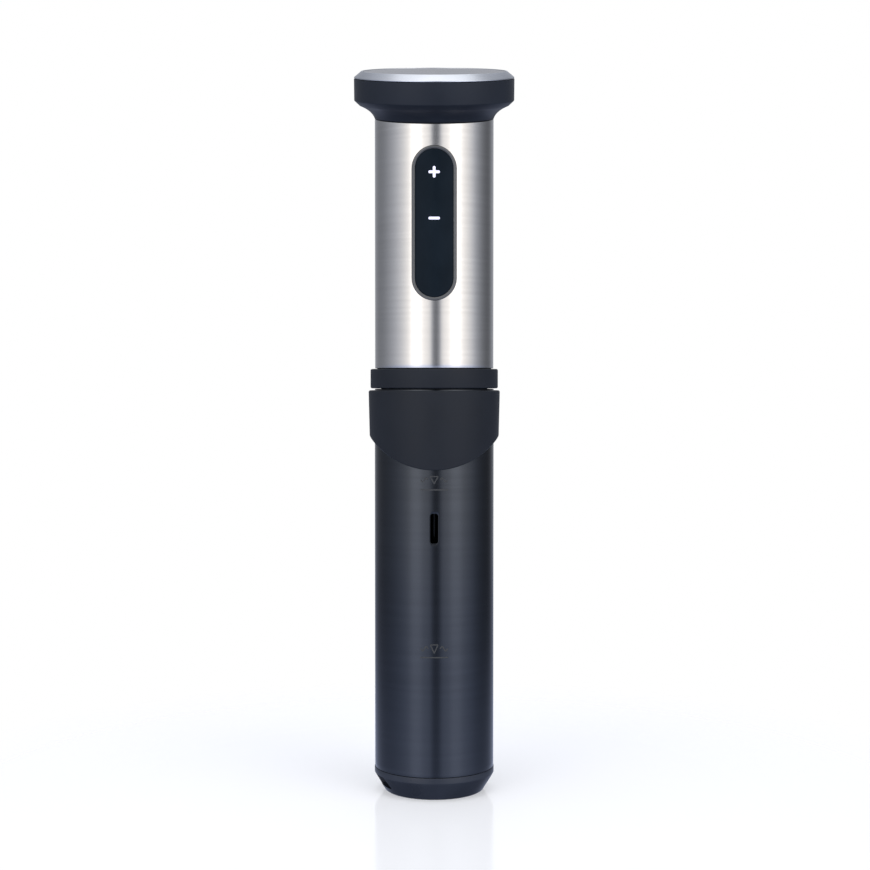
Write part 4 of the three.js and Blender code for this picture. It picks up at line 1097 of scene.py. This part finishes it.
PIN_LOW, PIN_HIGH = span("clamp_pin")
PIN_Y = (PIN_LOW.y + PIN_HIGH.y) / 2
PIN_Z = (PIN_LOW.z + PIN_HIGH.z) / 2
PIN_R = (PIN_HIGH.z - PIN_LOW.z) / 2
EAR_X = span("clamp_bracket")[1].x
EAR_THICKNESS = 3.5
EYE_R = 6
SADDLE_HALF_HEIGHT = 8
SADDLE_BACK_Y = PIN_Y - 6
BARREL_R = 5
TAB_HEIGHT = 32
TAB_BACK = 9.5
GRIP_GROOVES = 5
SPRING_ROOM_X = 3.4
LEVER_X = span("clamp_lever")[1].x
PAD_LOW, PAD_HIGH = span("clamp_jaw_pad")
FIXED_LOW, FIXED_HIGH = span("clamp_fixed_pad")


def lying(made):
    """Lays a piece made round Z along X, through the clamp's pin."""
    made.data.transform(Matrix.Translation((0, PIN_Y, PIN_Z)) @ Matrix.Rotation(math.pi / 2, 4, "Y"))
    return made


def clamp_bracket():
    """A saddle on the cuff's back, with two rounded ears that hold the pin."""
    inside = SLEEVE_R - 4
    saddle = [
        (-EAR_X, inside),
        (EAR_X, inside),
        (EAR_X, SADDLE_BACK_Y, 1.6),
        (-EAR_X, SADDLE_BACK_Y, 1.6),
    ]
    low_z, high_z = PIN_Z - SADDLE_HALF_HEIGHT, PIN_Z + SADDLE_HALF_HEIGHT
    made = prism("clamp_saddle", saddle, low_z, high_z, corner_steps=6)
    eye = [(PIN_Y + EYE_R * math.sin(a), PIN_Z - EYE_R * math.cos(a)) for a in spread(0, math.pi, 24)]
    ear = [(SADDLE_BACK_Y - 2, PIN_Z - EYE_R), *eye, (SADDLE_BACK_Y - 2, PIN_Z + EYE_R)]
    for low, high in ((-EAR_X, EAR_THICKNESS - EAR_X), (EAR_X - EAR_THICKNESS, EAR_X)):
        join(made, prism("ear", ear, low, high, "X"))
    cut(made, rod("cuff_room", CUFF_R + GAP, low_z - NUDGE, high_z + NUDGE, edge=0, steps=BIG_STEPS))
    cut(made, lying(rod("pin_hole", PIN_R + GAP, -EAR_X - NUDGE, EAR_X + NUDGE, edge=0)))
    soften(made, 0.55, angle=50)
    return finished(made, "sleeve_body", "soft_black_plastic", "clamp_bracket")


def clamp_lever():
    """A bent lever: a thumb tab with grip grooves above the pin, and the jaw's arm below it."""
    arm = PAD_HIGH.y + GAP
    low, high = PAD_LOW.z, PAD_HIGH.z
    side = [
        (arm, low - 1, 0.8),
        (arm, high + 1, 1.2),
        (PIN_Y - 2.8, high + 5, 3),
        (PIN_Y - 2.8, PIN_Z - 8, 3),
        (PIN_Y - BARREL_R, PIN_Z, 2),
        (PIN_Y + 1.8, PIN_Z + 6, 4),
        (PIN_Y + 6, PIN_Z + TAB_HEIGHT, 1.6),
        (PIN_Y + TAB_BACK, PIN_Z + TAB_HEIGHT, 1.6),
        (PIN_Y + BARREL_R, PIN_Z, 6),
        (PIN_Y + 1.4, PIN_Z - 9, 6),
        (PIN_Y + 1.2, high + 4, 4),
        (arm + 3.8, high, 3),
        (arm + 3.8, low - 1, 1.4),
    ]
    made = prism("clamp_lever_arm", side, -LEVER_X, LEVER_X, "X", 6)
    join(made, lying(rod("barrel", BARREL_R, -LEVER_X, LEVER_X, edge=0)))
    front, back = PIN_Y - 7, PIN_Y + 4.4
    room = [(front, PIN_Z - 5), (back, PIN_Z - 5), (back, PIN_Z + 5), (front, PIN_Z + 5)]
    cut(made, prism("spring_room", room, -SPRING_ROOM_X, SPRING_ROOM_X, "X"))
    cut(made, lying(rod("pin_hole", PIN_R + GAP, -LEVER_X - NUDGE, LEVER_X + NUDGE, edge=0)))
    slope = (TAB_BACK - BARREL_R) / TAB_HEIGHT
    for i in range(GRIP_GROOVES):
        z = PIN_Z + 17 + 2.6 * i
        face = PIN_Y + BARREL_R + slope * (z - PIN_Z)
        cut(made, sweep("groove", [(x, face + 0.25, z) for x in (-LEVER_X - 2, 0, LEVER_X + 2)], 0.7, 16))
    soften(made, 0.5, angle=50)
    return finished(made, "clamp_arm", "soft_black_plastic", "clamp_lever")


def clamp_pin():
    made = lying(rod("clamp_pin_rod", PIN_R, PIN_LOW.x, PIN_HIGH.x, edge=0.45))
    return finished(made, "sleeve_body", "inner_steel", "clamp_pin")


SPRING_TURNS = 3.5
SPRING_STEPS = 140
SPRING_R = 2.8
SPRING_HALF = 2.3
SPRING_WIRE_R = 0.45
SPRING_LEG = 3.2


def clamp_spring():
    """A torsion spring round the pin, with a straight leg at each end."""
    path = []
    angles = spread(0, 2 * math.pi * SPRING_TURNS, SPRING_STEPS)
    for x, angle in zip(spread(-SPRING_HALF, SPRING_HALF, SPRING_STEPS), angles):
        path.append(Vector((x, PIN_Y + SPRING_R * math.cos(angle), PIN_Z + SPRING_R * math.sin(angle))))
    down = Vector((0, 0, -SPRING_LEG / 4))
    first = [path[0] + down * k for k in range(4, 0, -1)]
    last = [path[-1] + down * k for k in range(1, 5)]
    made = sweep("clamp_spring_wire", first + path + last, SPRING_WIRE_R, 12)
    return finished(made, "clamp_arm", "inner_steel", "clamp_spring")


RIB_PITCH = 2.0
RIB_DEPTH = 0.45


def ribbed(name, back, face, low, high, half):
    """A slab along X whose face, towards y = face, has level grip ribs."""
    inwards = -1 if face > back else 1
    levels = spread(low, high, round((high - low) / RIB_PITCH))
    points = [(back, low, 0.3)]
    for foot, head in zip(levels, levels[1:]):
        points += [(face, foot + 0.25, 0.2), (face, head - 0.45, 0.2)]
        if head < high - RIB_DEPTH:
            points.append((face + inwards * RIB_DEPTH, head - 0.1, 0.1))
    points.append((back, high, 0.3))
    return prism(name, points, -half, half, "X", 3)


def clamp_jaw_pad():
    made = ribbed("clamp_jaw_pad_rubber", PAD_HIGH.y, PAD_LOW.y, PAD_LOW.z, PAD_HIGH.z, PAD_HIGH.x)
    soften(made, 0.25, segments=2, angle=60)
    return finished(made, "clamp_arm", "seal_rubber", "clamp_jaw_pad")


def clamp_fixed_pad():
    inside = SLEEVE_R - 4
    made = ribbed("clamp_fixed_pad_rubber", inside, FIXED_HIGH.y, FIXED_LOW.z, FIXED_HIGH.z, FIXED_HIGH.x)
    below, above = FIXED_LOW.z - NUDGE, FIXED_HIGH.z + NUDGE
    cut(made, rod("sleeve_room", SLEEVE_R + GAP, below, above, edge=0, steps=BIG_STEPS))
    soften(made, 0.2, segments=2, angle=60)
    return finished(made, "sleeve_body", "seal_rubber", "clamp_fixed_pad")


base_cap()
sleeve()
cuff()
level_mark("high_level_mark", *HIGH_LEVEL)
level_mark("low_level_mark", *LOW_LEVEL)
collar_ring()
handle_tube()
panel_frame()
touch_panel()
light_guide("plus_light_guide", PLUS_Z, True)
light_guide("minus_light_guide", MINUS_Z, False)
head_housing()
bezel_ring()
display_glass()
cord_gland()
o_ring("cap_seal", "base")
o_ring("bulkhead_seal", "handle")
heater_element()
for probe_node in PROBES:
    probe(probe_node)
shaft_tube()
lower_bush()
drive_shaft()
shaft_seal()
impeller()
bulkhead()
clamp_bracket()
clamp_lever()
clamp_pin()
clamp_spring()
clamp_jaw_pad()
clamp_fixed_pad()

# ---- Inner pieces: the CAD shape made again, with its edges eased ----

INNER = {
    "inner_steel": [
        "motor_shaft", "motor", "motor_screw_1", "motor_screw_2",
        "head_screw_1", "head_screw_2", "head_screw_3"],
    "inner_aluminium": ["shaft_coupling", "motor_mount", "heat_sink"],
    "inner_black_plastic": ["chassis", "cooling_fan", "buzzer"],
    "inner_white_plastic": ["relay", "display_module"],
    "circuit_board": ["power_board", "touch_board", "display_board"],
    "copper_winding": ["transformer"],
    "blue_film": ["capacitor"],
}
TURNING = {"motor_shaft", "shaft_coupling", "cooling_fan"}
EDGE_WIDTH = 0.25


def eased(node, slot):
    """A copy of a CAD node's mesh in millimetres, with flat faces joined and sharp edges rounded."""
    bm = bmesh.new()
    bm.from_mesh(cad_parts[node].data)
    bmesh.ops.scale(bm, vec=(1 / MM,) * 3, verts=bm.verts)
    bmesh.ops.remove_doubles(bm, verts=bm.verts, dist=0.001)
    bmesh.ops.dissolve_limit(bm, angle_limit=math.radians(1), verts=bm.verts, edges=bm.edges)
    made = soften(new_object(node + "_eased", bm), EDGE_WIDTH, segments=2, angle=35)
    return finished(made, "rotor" if node in TURNING else "handle", slot, node)


for slot_name, inner_nodes in INNER.items():
    for inner_node in inner_nodes:
        eased(inner_node, slot_name)


# ---- Floor, light and camera ----


FLOOR_R = 0.3
FLOOR_SOLID_R = 0.16
SOFTBOX_SIZE = 0.95
SOFTBOX_ENERGY = 1.6
SOFTBOX_AT = (0, -0.05, 1.3)
LENS = 68.03
EYE = (0.0004, -0.836, 0.2099)
EYE_DOWN = math.radians(1.984)


def studio_floor():
    """A pale disc with a soft gloss, which fades into the white round it."""
    bm = bmesh.new()
    bmesh.ops.create_circle(bm, cap_ends=True, segments=96, radius=FLOOR_R)
    floor = new_object("studio_floor", bm)
    made = Finish("studio_floor", (0.885, 0.92, 0.98), 0.12, specular_ior_level=0.8)
    coordinates = made.node("ShaderNodeTexCoord")
    distance = made.node("ShaderNodeVectorMath", operation="LENGTH")
    made.link(coordinates.outputs["Object"], distance.inputs[0])
    feed(made.shader, emission_color=(1, 1, 1, 1), emission_strength=0.34)
    fade = made.ranged(distance.outputs["Value"], 1, 0, start=FLOOR_SOLID_R, end=FLOOR_R - 0.005)
    made.link(fade, made.shader.inputs["Alpha"])
    floor.data.materials.append(made.material)
    floor.visible_glossy = False
    floor.visible_diffuse = False


def overhead_softbox():
    data = bpy.data.lights.new("overhead_softbox", "AREA")
    data.shape = "DISK"
    data.size = SOFTBOX_SIZE
    data.energy = SOFTBOX_ENERGY
    light = in_scene("overhead_softbox", data)
    light.location = SOFTBOX_AT
    light.visible_camera = False


# The room's brightness at angles from straight ahead of the stick, in degrees, round each side: a dark
# gap behind the camera, a large soft light at 37, grey walls, and a paler backdrop behind the stick.
ROOM_PEAK = 2.5
ROOM_LEFT = [
    (0, 0.15), (5, 0.28), (10, 0.9), (15, 1.2), (24, 1.4), (37, 1.95), (55, 1.22), (74, 0.74), (98, 0.42),
    (130, 0.25), (158, 0.33), (170, 0.46), (180, 0.5),
]
ROOM_RIGHT = [
    (0, 0.15), (5, 0.28), (10, 0.9), (15, 1.2), (24, 1.4), (37, 1.95), (55, 1.35), (74, 0.8), (89, 0.42),
    (114, 0.17), (130, 0.17), (143, 0.3), (158, 0.42), (170, 0.48), (180, 0.5),
]
ROOM_TURN = 3.5  # how far the dark gap lies to the right of straight ahead
ROOM_COOL = (0.93, 0.97, 1.08, 1)  # the tint of its dim parts
ROOM_BELOW = (0.93, 1.02, 1.28, 1)  # the pale floor's share, bluer
ROOM_WARM = (1.0, 0.965, 0.94, 1)  # the tint of its bright parts


def studio_world():
    """White where the camera looks. For light and reflections it is the room above."""
    world = bpy.data.worlds.new("studio")
    bpy.context.scene.world = world
    world.use_nodes = True
    tree = world.node_tree
    tree.nodes.clear()

    def node(kind, **settings):
        return add_node(tree, kind, **settings)

    def sum_of(operation, one, two):
        made = node("ShaderNodeMath", operation=operation)
        for socket, value in zip(made.inputs, (one, two)):
            if isinstance(value, (int, float)):
                socket.default_value = value
            else:
                tree.links.new(value, socket)
        return made.outputs[0]

    def ramp(value, start, end, low, high):
        made = node("ShaderNodeMapRange", interpolation_type="SMOOTHSTEP")
        feed(made, from_min=start, from_max=end, to_min=low, to_max=high)
        tree.links.new(value, made.inputs["Value"])
        return made.outputs["Result"]

    def side(share, profile):
        made = node("ShaderNodeFloatCurve")
        curve = made.mapping.curves[0]
        while len(curve.points) < len(profile):
            curve.points.new(0.5, 0.5)
        for point, (angle, level) in zip(curve.points, profile):
            point.location = (angle / 180, level / ROOM_PEAK)
        made.mapping.update()
        tree.links.new(share, made.inputs["Value"])
        return sum_of("MULTIPLY", made.outputs["Value"], ROOM_PEAK)

    coordinates = node("ShaderNodeTexCoord")
    parts = node("ShaderNodeSeparateXYZ")
    tree.links.new(coordinates.outputs["Generated"], parts.inputs[0])
    across, height = parts.outputs["X"], parts.outputs["Z"]
    ahead = sum_of("MULTIPLY", parts.outputs["Y"], -1)
    turn = sum_of("ARCTAN2", across, ahead)
    turn = sum_of("SUBTRACT", turn, math.radians(ROOM_TURN))
    share = sum_of("DIVIDE", sum_of("ABSOLUTE", turn, 0), math.pi)
    is_right = sum_of("GREATER_THAN", turn, 0)
    is_left = sum_of("SUBTRACT", 1, is_right)
    left = sum_of("MULTIPLY", is_left, side(share, ROOM_LEFT))
    right = sum_of("MULTIPLY", is_right, side(share, ROOM_RIGHT))
    walls = sum_of("ADD", left, right)
    # height is the sine of the angle over the horizon. The walls dim low down and overhead.
    lit = sum_of("MULTIPLY", walls, ramp(height, -0.2, -0.07, 0.54, 1))
    lit = sum_of("MULTIPLY", lit, ramp(height, 0.6, 0.95, 1, 0.3))
    # The ceiling and the floor add their own light, and straight below it is dark.
    lit = sum_of("ADD", lit, ramp(height, 0.5, 0.95, 0, 0.58))
    lit = sum_of("ADD", lit, ramp(height, -0.26, -0.12, 0.36, 0))
    level = sum_of("MULTIPLY", lit, ramp(height, -0.7, -0.3, 0.25, 1))
    tint = node("ShaderNodeMix", data_type="RGBA")
    feed(tint, a=ROOM_COOL, b=ROOM_WARM)
    tree.links.new(ramp(level, 0.2, 1.4, 0, 1), tint.inputs["Factor"])

    below = node("ShaderNodeMix", data_type="RGBA", blend_type="MULTIPLY")
    feed(below, b=ROOM_BELOW)
    tree.links.new(ramp(height, -0.02, -0.22, 0, 1), below.inputs["Factor"])
    tree.links.new(tint.outputs["Result"], below.inputs["A"])

    room = node("ShaderNodeBackground")
    tree.links.new(below.outputs["Result"], room.inputs["Color"])
    tree.links.new(level, room.inputs["Strength"])
    seen = node("ShaderNodeBackground")
    feed(seen, color=(1, 1, 1, 1))
    path = node("ShaderNodeLightPath")
    mix = node("ShaderNodeMixShader")
    output = node("ShaderNodeOutputWorld")
    tree.links.new(path.outputs["Is Camera Ray"], mix.inputs["Fac"])
    tree.links.new(room.outputs[0], mix.inputs[1])
    tree.links.new(seen.outputs[0], mix.inputs[2])
    tree.links.new(mix.outputs[0], output.inputs["Surface"])


def camera():
    data = bpy.data.cameras.new("camera")
    data.lens = LENS
    data.sensor_width = 36
    eye = in_scene("camera", data)
    eye.location = EYE
    eye.rotation_euler = (math.pi / 2 - EYE_DOWN, 0, 0)
    bpy.context.scene.camera = eye


studio_floor()
studio_world()
overhead_softbox()
camera()
bpy.context.scene.view_settings.view_transform = "Standard"
